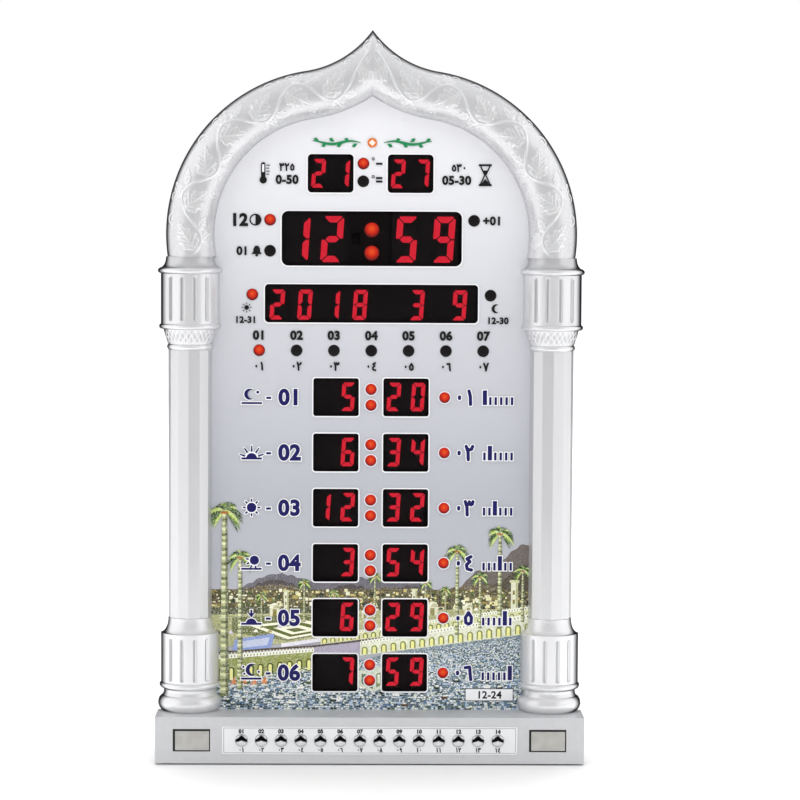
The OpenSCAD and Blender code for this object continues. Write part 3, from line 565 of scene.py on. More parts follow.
def plinth_paint():
    """Silver paint, with painted shade, nearly black, in the gaps round the end plates."""
    dark, light = (0.58, 0.585, 0.60), (0.605, 0.61, 0.625)
    material = finish("plinth_paint", dark, light, (0.34, 0.42), 0.35, 3600, 0.08)
    # the gaps round the end plates are painted dark as shade
    second_colour(material, point_value(material.node_tree.nodes, "gap"), (0.012, 0.012, 0.012))
    return material


def chrome_with_painted_reflection():
    """Polished chrome with a painted dark reflection, a black hat, on each button's upper half."""
    dark, light = (0.78, 0.78, 0.80), (0.86, 0.86, 0.88)
    material = finish("button_chrome", dark, light, (0.05, 0.09), 1.0, 900, 0.0)
    # the black hat on each button is a painted dark reflection
    second_colour(material, point_value(material.node_tree.nodes, "painted_reflection"), (0.006, 0.006, 0.006))
    return material


SILVER = moulding_silver()
PLINTH_PAINT = plinth_paint()
PRINT = printed_face()
INK = printed_ink()
FILTER = dark_filter()
LIT_BAR = glowing("lit_bar", (0.86, 0.020, 0.040), (0.98, 0.034, 0.066), 2.0)
LIT_LAMP = lit_lamp()
BOARD = masked_board()
CHROME = chrome_with_painted_reflection()

# Plain finishes: darker and paler colour, range of roughness, metallic share, grain in waves per
# metre, bump and its depth
SATIN = finish("satin_plate", (0.46, 0.45, 0.42), (0.55, 0.545, 0.52), (0.38, 0.5), 0.6, 1800, 0.2)
LABEL = finish("white_label", (0.76, 0.77, 0.785), (0.81, 0.815, 0.83), (0.42, 0.5), 0.0, 900, 0.05)
CASE_GREY = finish("case_grey", (0.325, 0.335, 0.345), (0.345, 0.355, 0.365), (0.45, 0.58), 0.0,
                   2600, 0.25, 0.00005)
FRAME_GREY = finish("frame_grey", (0.42, 0.43, 0.45), (0.50, 0.51, 0.53), (0.42, 0.52), 0.0,
                    2200, 0.2, 0.00004)
MODULE = finish("module_black", (0.090, 0.089, 0.089), (0.100, 0.099, 0.099), (0.55, 0.7), 0.0, 1200, 0.05)
DARK_BAR = finish("dark_bar", (0.090, 0.086, 0.086), (0.100, 0.095, 0.095), (0.5, 0.6), 0.0, 1200, 0.0)
DARK_LAMP = finish("dark_lamp", (0.006, 0.005, 0.005), (0.012, 0.010, 0.010), (0.30, 0.38), 0.0, 700, 0.0)
DARK_LAMP.node_tree.nodes["Principled BSDF"].inputs["Specular IOR Level"].default_value = 0.12
IVORY = finish("holder_ivory", (0.62, 0.58, 0.47), (0.70, 0.66, 0.55), (0.45, 0.55), 0.0, 900, 0.08)
STEEL = finish("cell_steel", (0.56, 0.56, 0.55), (0.68, 0.68, 0.67), (0.22, 0.34), 1.0, 2000, 0.08)
RIBBON = finish("ribbon_grey", (0.50, 0.51, 0.52), (0.60, 0.61, 0.62), (0.45, 0.55), 0.0, 800, 0.1)
WIRE = finish("wire_cover", (0.42, 0.02, 0.02), (0.55, 0.03, 0.03), (0.4, 0.5), 0.0, 800, 0.05)
BLACK = finish("speaker_black", (0.016, 0.016, 0.017), (0.030, 0.030, 0.031), (0.45, 0.6), 0.0, 1200, 0.15)
SCREW = finish("screw_steel", (0.50, 0.50, 0.50), (0.62, 0.62, 0.61), (0.25, 0.36), 1.0, 2200, 0.06)


# ---------- arch moulding with a leaf scroll in low relief ----------

SCROLL_STEP = 23.0                  # from one bend of the stem to the next
SCROLL_SWING = 7.5                  # how far the stem swings to each side
STEM_HALF_W = 0.95
LEAF_RISE = 0.44                    # heights of the relief over the plain moulding
STEM_RISE = 0.34
CURL_RISE = 0.28
LEAF_LOBES = 9
LEAF_LOBE_DEPTH = 0.20
LEAF_GROUND = 0.22                  # height of a leaf between its raised lines, as a share
OUTLINE_IN = 0.55                   # a leaf's raised outline: how far in from its edge, and its width
OUTLINE_W = 0.45
MID_VEIN_W = 0.42
SIDE_VEIN_W = 0.36
SIDE_VEIN_STEP = 2.6
SIDE_VEIN_SLANT = 0.9
SIDE_VEIN_SHARE = 0.8
CURL_INNER = 0.45                   # a tendril's inner end, as a share of its outer radius
CURL_HALF_W = 0.55
BUD_R = 1.3


def stem_across(s):
    """Where the scroll's stem runs, across the moulding, at the distance s along it."""
    return SCROLL_SWING * np.sin(np.pi * s / SCROLL_STEP)


def stem_height(s, w):
    """Height of the stem, which is round in section."""
    slope = SCROLL_SWING * np.pi / SCROLL_STEP * np.cos(np.pi * s / SCROLL_STEP)
    away = np.abs(w - stem_across(s)) / np.sqrt(1 + slope ** 2)
    return STEM_RISE * np.clip(1 - (away / STEM_HALF_W) ** 2, 0, 1)


def leaf_height(s, w, root_s, root_w, angle, length, width):
    """A lobed leaf drawn in raised lines, on the moulding's unrolled surface."""
    c, d = math.cos(angle), math.sin(angle)
    along = (s - root_s) * c + (w - root_w) * d
    across = np.abs((w - root_w) * c - (s - root_s) * d)
    t = np.clip(along / length, 0, 1)
    edge = width * np.sin(np.pi * t ** 0.75) * (1 + LEAF_LOBE_DEPTH * np.cos(LEAF_LOBES * np.pi * t))
    body = np.clip((edge - across) / 0.5, 0, 1)
    outline = np.exp(-((edge - across - OUTLINE_IN) / OUTLINE_W) ** 2)
    mid_vein = np.exp(-(across / MID_VEIN_W) ** 2)
    off_vein = np.mod(along - SIDE_VEIN_SLANT * across, SIDE_VEIN_STEP) - SIDE_VEIN_STEP / 2
    side_vein = SIDE_VEIN_SHARE * np.exp(-(off_vein / SIDE_VEIN_W) ** 2)
    lines = np.maximum(np.maximum(outline, mid_vein), side_vein)
    return LEAF_RISE * body * (LEAF_GROUND + (1 - LEAF_GROUND) * lines)


def curl_height(s, w, centre_s, centre_w, radius, turn):
    """A tendril that winds in to a small bud."""
    ds, dw = s - centre_s, w - centre_w
    r = np.hypot(ds, dw)
    a = np.mod(np.arctan2(dw, ds) * turn, 2 * np.pi) / (2 * np.pi)
    ring = radius * (CURL_INNER + (1 - CURL_INNER) * a)
    line = np.clip(1 - ((r - ring) / CURL_HALF_W) ** 2, 0, 1)
    bud = np.clip(1 - (r / BUD_R) ** 2, 0, 1)
    return CURL_RISE * np.maximum(line, bud)


def scroll_relief(s, w, length):
    """Height of the relief in millimetres, and how much the ground is stippled."""
    height = stem_height(s, w)
    for k in range(int(length / SCROLL_STEP) + 1):
        side = 1 if k % 2 == 0 else -1
        root_s = k * SCROLL_STEP + 4
        root_w = float(stem_across(np.array(root_s)))
        # each leaf: its root along and across, its angle, length and half width;
        # each tendril: its centre along and across, its radius and which way it winds
        pieces = (
            leaf_height(s, w, root_s, root_w, side * -0.62, 19, 5.6),
            leaf_height(s, w, root_s + 6, root_w + side * 3.0, side * 0.95, 12, 3.4),
            leaf_height(s, w, root_s + 13, side * 6.5, side * 0.35, 11, 3.0),
            leaf_height(s, w, root_s + 2, root_w, side * -1.35, 10, 2.8),
            curl_height(s, w, root_s + 16, side * -12.5, 3.6, side),
            curl_height(s, w, root_s + 5, side * 13.8, 2.8, -side),
        )
        for piece in pieces:
            height = np.maximum(height, piece)
    rim = math.pi * ARCH_HALF_W / 2
    fade = np.clip((rim - 3.0 - np.abs(w)) / 2.5, 0, 1)
    fade = fade * np.clip(s / 3, 0, 1) * np.clip((length - s) / 2.5, 0, 1)
    height = height * fade
    # the stipple sets a real bump and painted glints on the ground
    stipple = (0.12 + 0.75 * (np.abs(w) / rim) ** 1.5) * (1 - 0.8 * np.clip(height / 0.2, 0, 1))
    return height, stipple


ARCH_ACROSS = 110                   # points across the moulding
MAIN_ROWS = 300                     # rows of points along the main and the reverse curve
OGEE_ROWS = 96


def arch_half(side):
    """Points of one half of the arch, row by row from its foot to the mitre, with their point values."""
    main_length = ARCH_R * (ARCH_TURN + math.asin(ARCH_STILT / ARCH_R))
    ogee_end = math.pi + math.acos(OGEE_X / OGEE_R)
    ogee_length = OGEE_R * (ARCH_TURN + math.pi - ogee_end)
    length = main_length + ogee_length
    phi = np.linspace(0, math.pi, ARCH_ACROSS)
    w = ARCH_HALF_W * (phi - math.pi / 2)
    rows, reliefs, stipples = [], [], []
    # how much painted dark reflection each point across the moulding may take
    outer_sides = [0.0] + list(np.clip(np.cos(phi), 0, 1)) + [0.0]
    rim_in = MOULDING_T / ARCH_HALF_W
    for i in range(MAIN_ROWS + OGEE_ROWS + 1):
        on_main = i <= MAIN_ROWS
        t = i / MAIN_ROWS if on_main else (i - MAIN_ROWS) / OGEE_ROWS
        s = main_length * t if on_main else main_length + ogee_length * t
        height, stipple = scroll_relief(np.full(ARCH_ACROSS, s), w, length)
        r = ARCH_HALF_W + height
        out = r * np.cos(phi)
        y = PLANE_Y - r * np.sin(phi)
        if on_main:
            foot = -np.arcsin(ARCH_STILT / (ARCH_R + out))
            a = foot + (ARCH_TURN - foot) * t
            x = ARCH_X + (ARCH_R + out) * np.cos(a)
            z = ARCH_Z + (ARCH_R + out) * np.sin(a)
        else:
            end = math.pi + np.arccos(OGEE_X / (OGEE_R - out))
            a = (ARCH_TURN + math.pi) * (1 - t) + end * t
            x = OGEE_X + (OGEE_R - out) * np.cos(a)
            z = OGEE_Z + (OGEE_R - out) * np.sin(a)
        row = list(zip(side * x, y, z))
        first, last = Vector(row[0]), Vector(row[-1])
        centre = (first + last) / 2
        rows.append([tuple(first.lerp(centre, rim_in))] + row + [tuple(last.lerp(centre, rim_in))])
        # the relief's height also sets how much painted highlight a point gets
        reliefs.append([0.0] + list(np.clip(height / LEAF_RISE, 0, 1)) + [0.0])
        stipples.append([0.0] + list(stipple) + [0.0])
    return rows, reliefs, stipples, [outer_sides] * len(rows)


def set_point_values(mesh, name, values):
    """Writes one value for each point of a mesh, for the finishes to read."""
    layer = mesh.attributes.new(name, "FLOAT", "POINT")
    layer.data.foreach_set("value", np.asarray(values, dtype=np.float32))


def make_arch():
    """Both halves of the arch, which meet in a mitre at the point."""
    points, faces = [], []
    values = {"relief": [], "stipple": [], "outer": []}
    for side in (1, -1):
        rows, *value_rows = arch_half(side)
        half_points, half_faces = swept_grid(rows)
        start = len(points)
        points += half_points
        for face in half_faces:
            face = tuple(start + v for v in face)
            faces.append(face if side < 0 else face[::-1])
        for name, half_values in zip(values, value_rows):
            values[name] += [v for row in half_values for v in row]
    arch = make_object("arch_crown_look", points, faces, SILVER)
    for name in values:
        set_point_values(arch.data, name, values[name])
    hand_over(arch, "silver_moulding", "arch_crown")


make_arch()


# ---------- columns ----------

FLUTE_R = 1.3
FLUTE_DEPTH = 1.0
FLUTE_TURN = 26                     # degrees from one flute to the next
FLUTE_ANGLES = [math.radians(90 + FLUTE_TURN * k) for k in (-1.5, -0.5, 0.5, 1.5)]
CAPITAL_FLUTES = (17.5, 44.5)       # heights that the flutes lie between, over the piece's foot
BASE_FLUTES = (19.0, 45.0)
NECK = (3.6, 12.4)                  # heights of a capital's carved neck
NECK_LEAVES = 14
NECK_SLANT = 1.6
NECK_RIDGE_W = 0.13
NECK_CARVING = 0.38                 # from the carving's ground to its ridges
NECK_SHADE = 0.6
COLLAR_H = 49.8                     # a capital's collar starts here
COLLAR_SHADE = 0.55
TURNED_STEPS = 200
TURNED_STIPPLE = 0.06
DARK_REFLECTION_REACH = 1.2                    # how fast the painted dark reflection grows towards a turned piece's outer side


def flute_shift(a, h, low, high):
    """How far the drum's surface sinks into a flute, at the angle a and the height h."""
    past = max(0.0, low + FLUTE_R - h, h - high + FLUTE_R)
    for flute in FLUTE_ANGLES:
        off = DRUM_R * (a - flute)
        inside = FLUTE_R ** 2 - off ** 2 - past ** 2
        if inside > 0:
            return min(0.0, FLUTE_R - FLUTE_DEPTH - math.sqrt(inside))
    return 0.0


def leaf_lattice(a, h, low, high):
    """Crossing leaves carved round a neck."""
    t = (h - low) / (high - low)
    if not 0 < t < 1:
        return 0.0
    u = a * NECK_LEAVES / math.pi
    first = abs((u + t * NECK_SLANT) % 1 - 0.5)
    second = abs((u - t * NECK_SLANT) % 1 - 0.5)
    ridge = max(math.exp(-(first / NECK_RIDGE_W) ** 2), math.exp(-(second / NECK_RIDGE_W) ** 2))
    return NECK_CARVING * (ridge - 0.5) * math.sin(math.pi * t) ** 0.5


# Profiles of (radius, height) from the foot up
CAPITAL_PROFILE = (
    [(SHAFT_R, 0.0)] + bead(13.9, 0.2, 3.3, 0.8) + straight((13.3, 3.6), (16.0, 12.4), 20)
    + bead(18.7, 12.6, 15.6, 1.1) + straight((DRUM_R, 15.9), (DRUM_R, 45.9), 76)
    + bead(19.4, 46.1, 49.2, 1.2) + cove((18.3, 49.4), (14.5, 56.1))
)
BASE_PROFILE = (
    [(17.0, 0.0)] + bead(19.3, 0.2, 9.4, 2.2, 16)
    + [(16.6, 9.6), (16.0, 10.8), (15.8, 12.2), (16.1, 13.4), (17.0, 13.9)]
    + bead(18.45, 14.0, 17.6, 1.2) + straight((DRUM_R, 17.8), (DRUM_R, 47.6), 76)
    + cove((DRUM_R, 47.7), (SHAFT_R, 56.9), 12)
)


def capital_shift(a, h):
    """How far a capital's surface stands proud of its profile."""
    return flute_shift(a, h, *CAPITAL_FLUTES) + leaf_lattice(a, h, *NECK)


def base_shift(a, h):
    """How far a base's surface stands proud of its profile."""
    return flute_shift(a, h, *BASE_FLUTES)


def drum_shade(point, foot_z, flutes, carved):
    """How shaded a turned piece is at a point: a flute's left half, a carved neck's ground, a collar."""
    x, y, z = point
    x -= math.copysign(COLUMN_X, x)
    off_axis = math.hypot(x, y - PLANE_Y)
    if off_axis < 1:
        return 0.0
    a = math.acos(max(-1.0, min(1.0, -x / off_axis)))
    h = z - foot_z
    if flutes[0] - 0.5 < h < flutes[1] + 0.5:
        flute = min(FLUTE_ANGLES, key=lambda angle: abs(angle - a))
        in_flute = off_axis > DRUM_R - FLUTE_DEPTH - 0.1 and a < flute + 0.01
        return max(0.0, (DRUM_R - off_axis) / FLUTE_DEPTH) if in_flute else 0.0
    if carved and h > COLLAR_H:
        return COLLAR_SHADE
    if carved and NECK[0] < h < NECK[1]:
        return NECK_SHADE * max(0.0, -leaf_lattice(a, h, *NECK) / (NECK_CARVING / 2))
    return 0.0


def plain_silver(obj, shades=None, relief=0.55, dark_reflection=1.0):
    """Gives a turned piece the moulding's finish without its scroll; shades has a value for each point."""
    count = len(obj.data.vertices)
    # how far out each point lies, for the painted dark reflection on the outer side
    outer = np.array([(abs(v.co.x) / MM - COLUMN_X) / DRUM_R for v in obj.data.vertices])
    set_point_values(obj.data, "relief", [relief] * count)
    set_point_values(obj.data, "stipple", [TURNED_STIPPLE] * count)
    # painted shade of the flutes, the carved neck and the collar
    set_point_values(obj.data, "painted_shade", shades or [0.0] * count)
    set_point_values(obj.data, "outer", dark_reflection * np.clip(outer * DARK_REFLECTION_REACH, 0, 1))


def make_turned(node, x, foot_z, profile, shift, flutes, carved):
    """A capital or a base in the moulding's silver."""
    piece = half_turned(node + "_look", x, foot_z, profile, SILVER, TURNED_STEPS, shift)
    plain_silver(piece, [drum_shade(v.co / MM, foot_z, flutes, carved) for v in piece.data.vertices])
    hand_over(piece, "silver_moulding", node)


def make_columns():
    """Capital, base and shaft on both sides."""
    for side, name in ((-1, "left"), (1, "right")):
        x = side * COLUMN_X
        make_turned("capital_" + name, x, CAPITAL_Z, CAPITAL_PROFILE, capital_shift, CAPITAL_FLUTES, True)
        make_turned("column_base_" + name, x, PLINTH_TOP_Z, BASE_PROFILE, base_shift, BASE_FLUTES, False)
        shaft = dress("column_" + name, SILVER, "silver_moulding", 0.35, 3, angle=20)
        plain_silver(shaft, relief=0.0, dark_reflection=0.0)


make_columns()


# ---------- plinth and buttons ----------

def lathe_y(name, x, z, profile, material, steps=48):
    """A round piece turned about an axis along Y.
    Its profile of (radius, y) starts and ends on the axis."""
    turns = [2 * math.pi * k / steps for k in range(steps)]
    rows = [[(x + r * math.cos(a), y, z + r * math.sin(a)) for a in turns] for r, y in profile[1:-1]]
    points, faces = swept_grid(rows, closed=True)
    first, last = len(points), len(points) + 1
    points += [(x, profile[0][1], z), (x, profile[-1][1], z)]
    for k in range(steps):
        faces.append((first, (k + 1) % steps, k))
        start = (len(rows) - 1) * steps
        faces.append((last, start + k, start + (k + 1) % steps))
    obj = make_object(name, points, faces, material)
    outward(obj)
    obj.data.set_sharp_from_angle(angle=LATHE_SHARP)
    return obj


def button_xs():
    """Places of the buttons across the plinth."""
    return [(i - (BUTTONS - 1) / 2) * BUTTON_STEP for i in range(BUTTONS)]


# The painted dark reflection on a button, in shares of the button's radius
REFLECTION_TOP = 1.0
REFLECTION_FOOT = -0.04
REFLECTION_SOFT = 0.16
BRIM_SLOPE = 0.75
FOOT_SLOPE = 0.35


def painted_reflection_value(point, button_x):
    """1 in the painted dark reflection, a black hat: a broad chevron over the middle of the dome, with soft
    edges.
    """
    across = abs(point.x - button_x) / BUTTON_R
    up = (point.z - BUTTON_Z) / BUTTON_R
    if point.y > PLINTH_FRONT_Y:
        return 0.0
    below_brim = (REFLECTION_TOP - BRIM_SLOPE * across - up) / REFLECTION_SOFT
    over_foot = (up - REFLECTION_FOOT + FOOT_SLOPE * across) / REFLECTION_SOFT
    return max(0.0, min(1.0, below_brim, over_foot))


def button_profile():
    """A button from the top of its dome back to the end of its stem."""
    turns = [math.radians(a) for a in range(0, 91, 5)]
    dome = [(BUTTON_R * math.sin(a), PLINTH_FRONT_Y - BUTTON_PROUD * math.cos(a)) for a in turns]
    flange_y = PLINTH_FRONT_Y + BUTTON_SKIRT
    stem_y = flange_y + BUTTON_FLANGE_T
    end_y = flange_y + (BUTTON_FLANGE_T + BUTTON_STEM)
    return dome + [(BUTTON_R, flange_y), (BUTTON_FLANGE_R, flange_y), (BUTTON_FLANGE_R, stem_y),
                   (BUTTON_STEM_R, stem_y), (BUTTON_STEM_R, end_y), (0.0, end_y)]


def make_buttons():
    """The fourteen buttons, each on its own body."""
    for i, x in enumerate(button_xs()):
        node = "button_%02d" % (i + 1)
        button = lathe_y(node + "_look", x, BUTTON_Z, button_profile(), CHROME)
        # painted dark reflection over the upper half of each dome
        set_point_values(button.data, "painted_reflection", [painted_reflection_value(v.co / MM, x) for v in button.data.vertices])
        hand_over(button, "button_chrome", node, body=node)


PLATE_LESS = 0.5                    # how much smaller the end plates are drawn on every side
PLATE_SHIFT = 0.35                  # and how far they sit low and to the right


def mark_gap_shade(plinth):
    """Marks the recesses that the end plates lie in; they take painted shade."""
    low, high = corners("inset_plates")
    inner_x = corners("button_strip")[1].x + 2
    margin = 1
    front_y, back_y = PLINTH_FRONT_Y + 0.5, low.y + 4
    marks = []
    for vertex in plinth.data.vertices:
        x, y, z = vertex.co / MM
        in_outline = inner_x < abs(x) < high.x + margin and low.z - margin < z < high.z + margin
        marks.append(float(in_outline and front_y < y < back_y))
    set_point_values(plinth.data, "gap", marks)


def draw_in(plates):
    """Makes the end plates a little smaller and sets them low and to the right, so that the painted shade
    in their gap shows.
    """
    for side in (-1, 1):
        own = [v for v in plates.data.vertices if v.co.x * side > 0]
        for axis, shift in ((0, PLATE_SHIFT), (2, -PLATE_SHIFT)):
            centre = (min(v.co[axis] for v in own) + max(v.co[axis] for v in own)) / 2
            for vertex in own:
                vertex.co[axis] += (shift - math.copysign(PLATE_LESS, vertex.co[axis] - centre)) * MM


make_buttons()
mark_gap_shade(dress("plinth", PLINTH_PAINT, "plinth_silver", 0.7, 3))
draw_in(dress("inset_plates", SATIN, "satin_plate", 0.12))
dress("button_strip", LABEL, "label_white", 0.1)


# ---------- displays ----------

SMALL_STEP = 14.6
TIME_DIGIT_H = 27.8
DATE_DIGIT_H = 18.2
SMALL_DIGIT_H = 17.3
SLANT = math.tan(math.radians(4))
TIME_PAIRS = ((-34.05, 20.3), (32.25, 22.5))    # middle and step of the hours' and the minutes' digits
YEAR_X, YEAR_STEP = -57, 16.7
MONTH_X, DAY_X = 27.6, 53.4                     # the second digit of each
TIME_DIGIT_X = [x + s * step / 2 for x, step in TIME_PAIRS for s in (-1, 1)]
YEAR_DIGIT_X = [YEAR_X + YEAR_STEP * i for i in range(4)]
DATE_DIGIT_X = YEAR_DIGIT_X + [x + s * SMALL_STEP for x in (MONTH_X, DAY_X) for s in (-1, 0)]
TIME_DIGIT_DROP = 0.4
DATE_DIGIT_DROP = 0.9
SHOWN_TIME = "1259"
SHOWN_DATE = "2018 3 9"
SHOWN_COUNTERS = ("21", "27")
SHOWN_ROWS = (" 520", " 634", "1232", " 354", " 629", " 759")

# Bars of each figure: top, middle, bottom, then the uprights by side and half
BARS_LIT = {
    "0": "tbLlRr", "1": "Rr", "2": "tmbRl", "3": "tmbRr", "4": "mLRr", "5": "tmbLr",
    "6": "tmbLlr", "7": "tRr", "8": "tmbLlRr", "9": "tmbLRr", " ": "",
}


def bar_name(dx, dz, digit_h):
    """Which bar of a digit lies at this offset from its middle; capitals are the upper uprights."""
    dx -= dz * SLANT
    if abs(dx) < digit_h * 0.12:
        if abs(dz) < digit_h * 0.2:
            return "m"
        return "t" if dz > 0 else "b"
    if dx < 0:
        return "L" if dz > 0 else "l"
    return "R" if dz > 0 else "r"


def islands(mesh):
    """Faces of each loose part of a mesh."""
    seen, parts = set(), []
    for face in mesh.faces:
        if face.index in seen:
            continue
        stack, part = [face], []
        seen.add(face.index)
        while stack:
            here = stack.pop()
            part.append(here)
            for edge in here.edges:
                for other in edge.link_faces:
                    if other.index not in seen:
                        seen.add(other.index)
                        stack.append(other)
        parts.append(part)
    return parts


def light_bars(node, digits, digit_h):
    """The bars of a display, lit where the shown figure has them. digits holds (figure, x, z)."""
    obj = dress(node, DARK_BAR, "segment_red", 0)
    obj.data.materials.append(LIT_BAR)
    edit = bmesh.new()
    edit.from_mesh(obj.data)
    edit.faces.ensure_lookup_table()
    for part in islands(edit):
        centre = sum((f.calc_center_median() for f in part), Vector()) / len(part) / MM
        figure, x, z = min(digits, key=lambda d: (d[1] - centre.x) ** 2 + (d[2] - centre.z) ** 2)
        lit = bar_name(centre.x - x, centre.z - z, digit_h) in BARS_LIT[figure]
        for face in part:
            face.material_index = 1 if lit else 0
    edit.to_mesh(obj.data)
    edit.free()


def two_digits(text, x, z):
    """A pair of small digits about x."""
    return [(text[0], x - SMALL_STEP / 2, z), (text[1], x + SMALL_STEP / 2, z)]


def make_displays():
    """Bars, housings and filters of all four kinds of display."""
    time_z, date_z = TIME_Z - TIME_DIGIT_DROP, DATE_Z - DATE_DIGIT_DROP
    light_bars("time_segments", [(f, x, time_z) for f, x in zip(SHOWN_TIME, TIME_DIGIT_X)], TIME_DIGIT_H)
    light_bars("date_segments", [(f, x, date_z) for f, x in zip(SHOWN_DATE, DATE_DIGIT_X)], DATE_DIGIT_H)
    counters = []
    for text, x in zip(SHOWN_COUNTERS, COUNTER_XS):
        counters += two_digits(text, x, COUNTER_Z)
    light_bars("counter_segments", counters, SMALL_DIGIT_H)
    rows = []
    for text, z in zip(SHOWN_ROWS, ROW_ZS):
        rows += two_digits(text[:2], -SMALL_X, z) + two_digits(text[2:], SMALL_X, z)
    light_bars("row_segments", rows, SMALL_DIGIT_H)
    for name, plural in (("time", ""), ("date", ""), ("counter", "s"), ("row", "s")):
        dress(name + "_display" + plural, MODULE, "module_black", 0)
        dress(name + "_window" + plural, FILTER, "dark_filter", 0.15)


make_displays()


# ---------- lamps ----------

LAMP_SIDES = 36
LAMP_RINGS = 20
HIGHLIGHT_LIFT = 0.18                    # how far above a dome's middle its painted highlight lies, in shares of its radius
LAMP_SOCKETS = (("Geometry", "Geometry"), ("Radius", "Float"), ("Dome height", "Float"),
                ("Body length", "Float"), ("Finish", "Material"))


def tree_node(tree, kind, inputs, **settings):
    """The outputs of a new node; each of its inputs takes a plain value or another node's output."""
    node = tree.nodes.new(kind)
    for name, value in settings.items():
        setattr(node, name, value)
    for name, value in inputs.items():
        if isinstance(value, bpy.types.NodeSocket):
            tree.links.new(value, node.inputs[name])
        else:
            node.inputs[name].default_value = value
    return node.outputs


def store_highlight_distance(tree, geometry, value):
    """Stores how far from the painted highlight each point lies, for the lit finish to read."""
    inputs = {"Geometry": geometry, "Name": "rim", "Value": value}
    return tree_node(tree, "GeometryNodeStoreNamedAttribute", inputs, data_type="FLOAT")["Geometry"]


def lamp_dome(tree, given):
    """A flattened ball, whose back half hides in the body."""
    ball = tree_node(tree, "GeometryNodeMeshUVSphere",
                     {"Segments": LAMP_SIDES, "Rings": LAMP_RINGS, "Radius": 1.0})
    spot = tree_node(tree, "GeometryNodeInputPosition", {})
    parts = tree_node(tree, "ShaderNodeSeparateXYZ", {"Vector": spot["Position"]})
    flat = tree_node(tree, "ShaderNodeCombineXYZ", {"X": parts["X"], "Z": parts["Z"]})
    # the painted highlight lies above the middle, so the lower rim is darker as painted shade
    raised = tree_node(tree, "ShaderNodeVectorMath", {0: flat["Vector"], 1: (0, 0, HIGHLIGHT_LIFT)},
                       operation="SUBTRACT")
    from_highlight = tree_node(tree, "ShaderNodeVectorMath", {0: raised["Vector"]}, operation="LENGTH")
    marked = store_highlight_distance(tree, ball["Mesh"], from_highlight["Value"])
    size = tree_node(tree, "ShaderNodeCombineXYZ",
                     {"X": given["Radius"], "Y": given["Dome height"], "Z": given["Radius"]})
    dome = tree_node(tree, "GeometryNodeTransform", {"Geometry": marked, "Scale": size["Vector"]})
    return dome["Geometry"]


def lamp_body(tree, given):
    """A cylinder that runs back along Y."""
    rod = tree_node(tree, "GeometryNodeMeshCylinder",
                    {"Vertices": LAMP_SIDES, "Radius": given["Radius"], "Depth": given["Body length"]})
    half = tree_node(tree, "ShaderNodeMath", {0: given["Body length"], 1: 0.5}, operation="MULTIPLY")
    back = tree_node(tree, "ShaderNodeCombineXYZ", {"Y": half["Value"]})
    body = tree_node(tree, "GeometryNodeTransform",
                     {"Geometry": rod["Mesh"], "Translation": back["Vector"],
                      "Rotation": (math.pi / 2, 0, 0)})
    return store_highlight_distance(tree, body["Geometry"], 1.0)


def lamp_tree():
    """Geometry nodes that set a domed round lamp on each point of a mesh."""
    tree = bpy.data.node_groups.new("lamps_on_points", "GeometryNodeTree")
    for name, kind in LAMP_SOCKETS:
        tree.interface.new_socket(name, in_out="INPUT", socket_type="NodeSocket" + kind)
    tree.interface.new_socket("Geometry", in_out="OUTPUT", socket_type="NodeSocketGeometry")
    given = tree.nodes.new("NodeGroupInput").outputs
    lamp = tree.nodes.new("GeometryNodeJoinGeometry")
    tree.links.new(lamp_body(tree, given), lamp.inputs["Geometry"])
    tree.links.new(lamp_dome(tree, given), lamp.inputs["Geometry"])
    placed = tree_node(tree, "GeometryNodeInstanceOnPoints",
                       {"Points": given["Geometry"], "Instance": lamp.outputs["Geometry"]})
    real = tree_node(tree, "GeometryNodeRealizeInstances", {"Geometry": placed["Instances"]})
    painted = tree_node(tree, "GeometryNodeSetMaterial",
                        {"Geometry": real["Geometry"], "Material": given["Finish"]})
    output = tree.nodes.new("NodeGroupOutput")
    tree.links.new(painted["Geometry"], output.inputs["Geometry"])
    return tree


LAMP_TREE = lamp_tree()


def grown(name, points, tree, values):
    """The plain mesh that a geometry tree makes on a list of points in millimetres."""
    seeds = bpy.data.meshes.new(name + "_points")
    seeds.from_pydata([tuple(c * MM for c in p) for p in points], [], [])
    holder = put_in_scene(name + "_points", seeds)
    maker = holder.modifiers.new("maker", "NODES")
    maker.node_group = tree
    for socket in tree.interface.items_tree:
        if socket.in_out == "INPUT" and socket.name in values:
            maker[socket.identifier] = values[socket.name]
    bpy.context.view_layer.update()
    shown = holder.evaluated_get(bpy.context.evaluated_depsgraph_get())
    mesh = bpy.data.meshes.new_from_object(shown)
    mesh.name = name
    obj = put_in_scene(name, mesh)
    bpy.data.objects.remove(holder)
    for polygon in mesh.polygons:
        polygon.use_smooth = True
    mesh.set_sharp_from_angle(angle=LAMP_SHARP)
    return obj


def lamp_row(node, lit, dark, radius):
    """A node's lamps as two meshes, one lit and one dark."""
    back_y = corners(node)[1].y
    for ending, spots, material in (("_lit", lit, LIT_LAMP), ("_dark", dark, DARK_LAMP)):
        if spots:
            sizes = {"Radius": radius * MM, "Dome height": LAMP_PROUD * MM,
                     "Body length": (back_y - PLANE_Y) * MM, "Finish": material}
            lamps = grown(node + ending, [(x, PLANE_Y, z) for x, z in spots], LAMP_TREE, sizes)
            hand_over(lamps, "lamp_red", node)


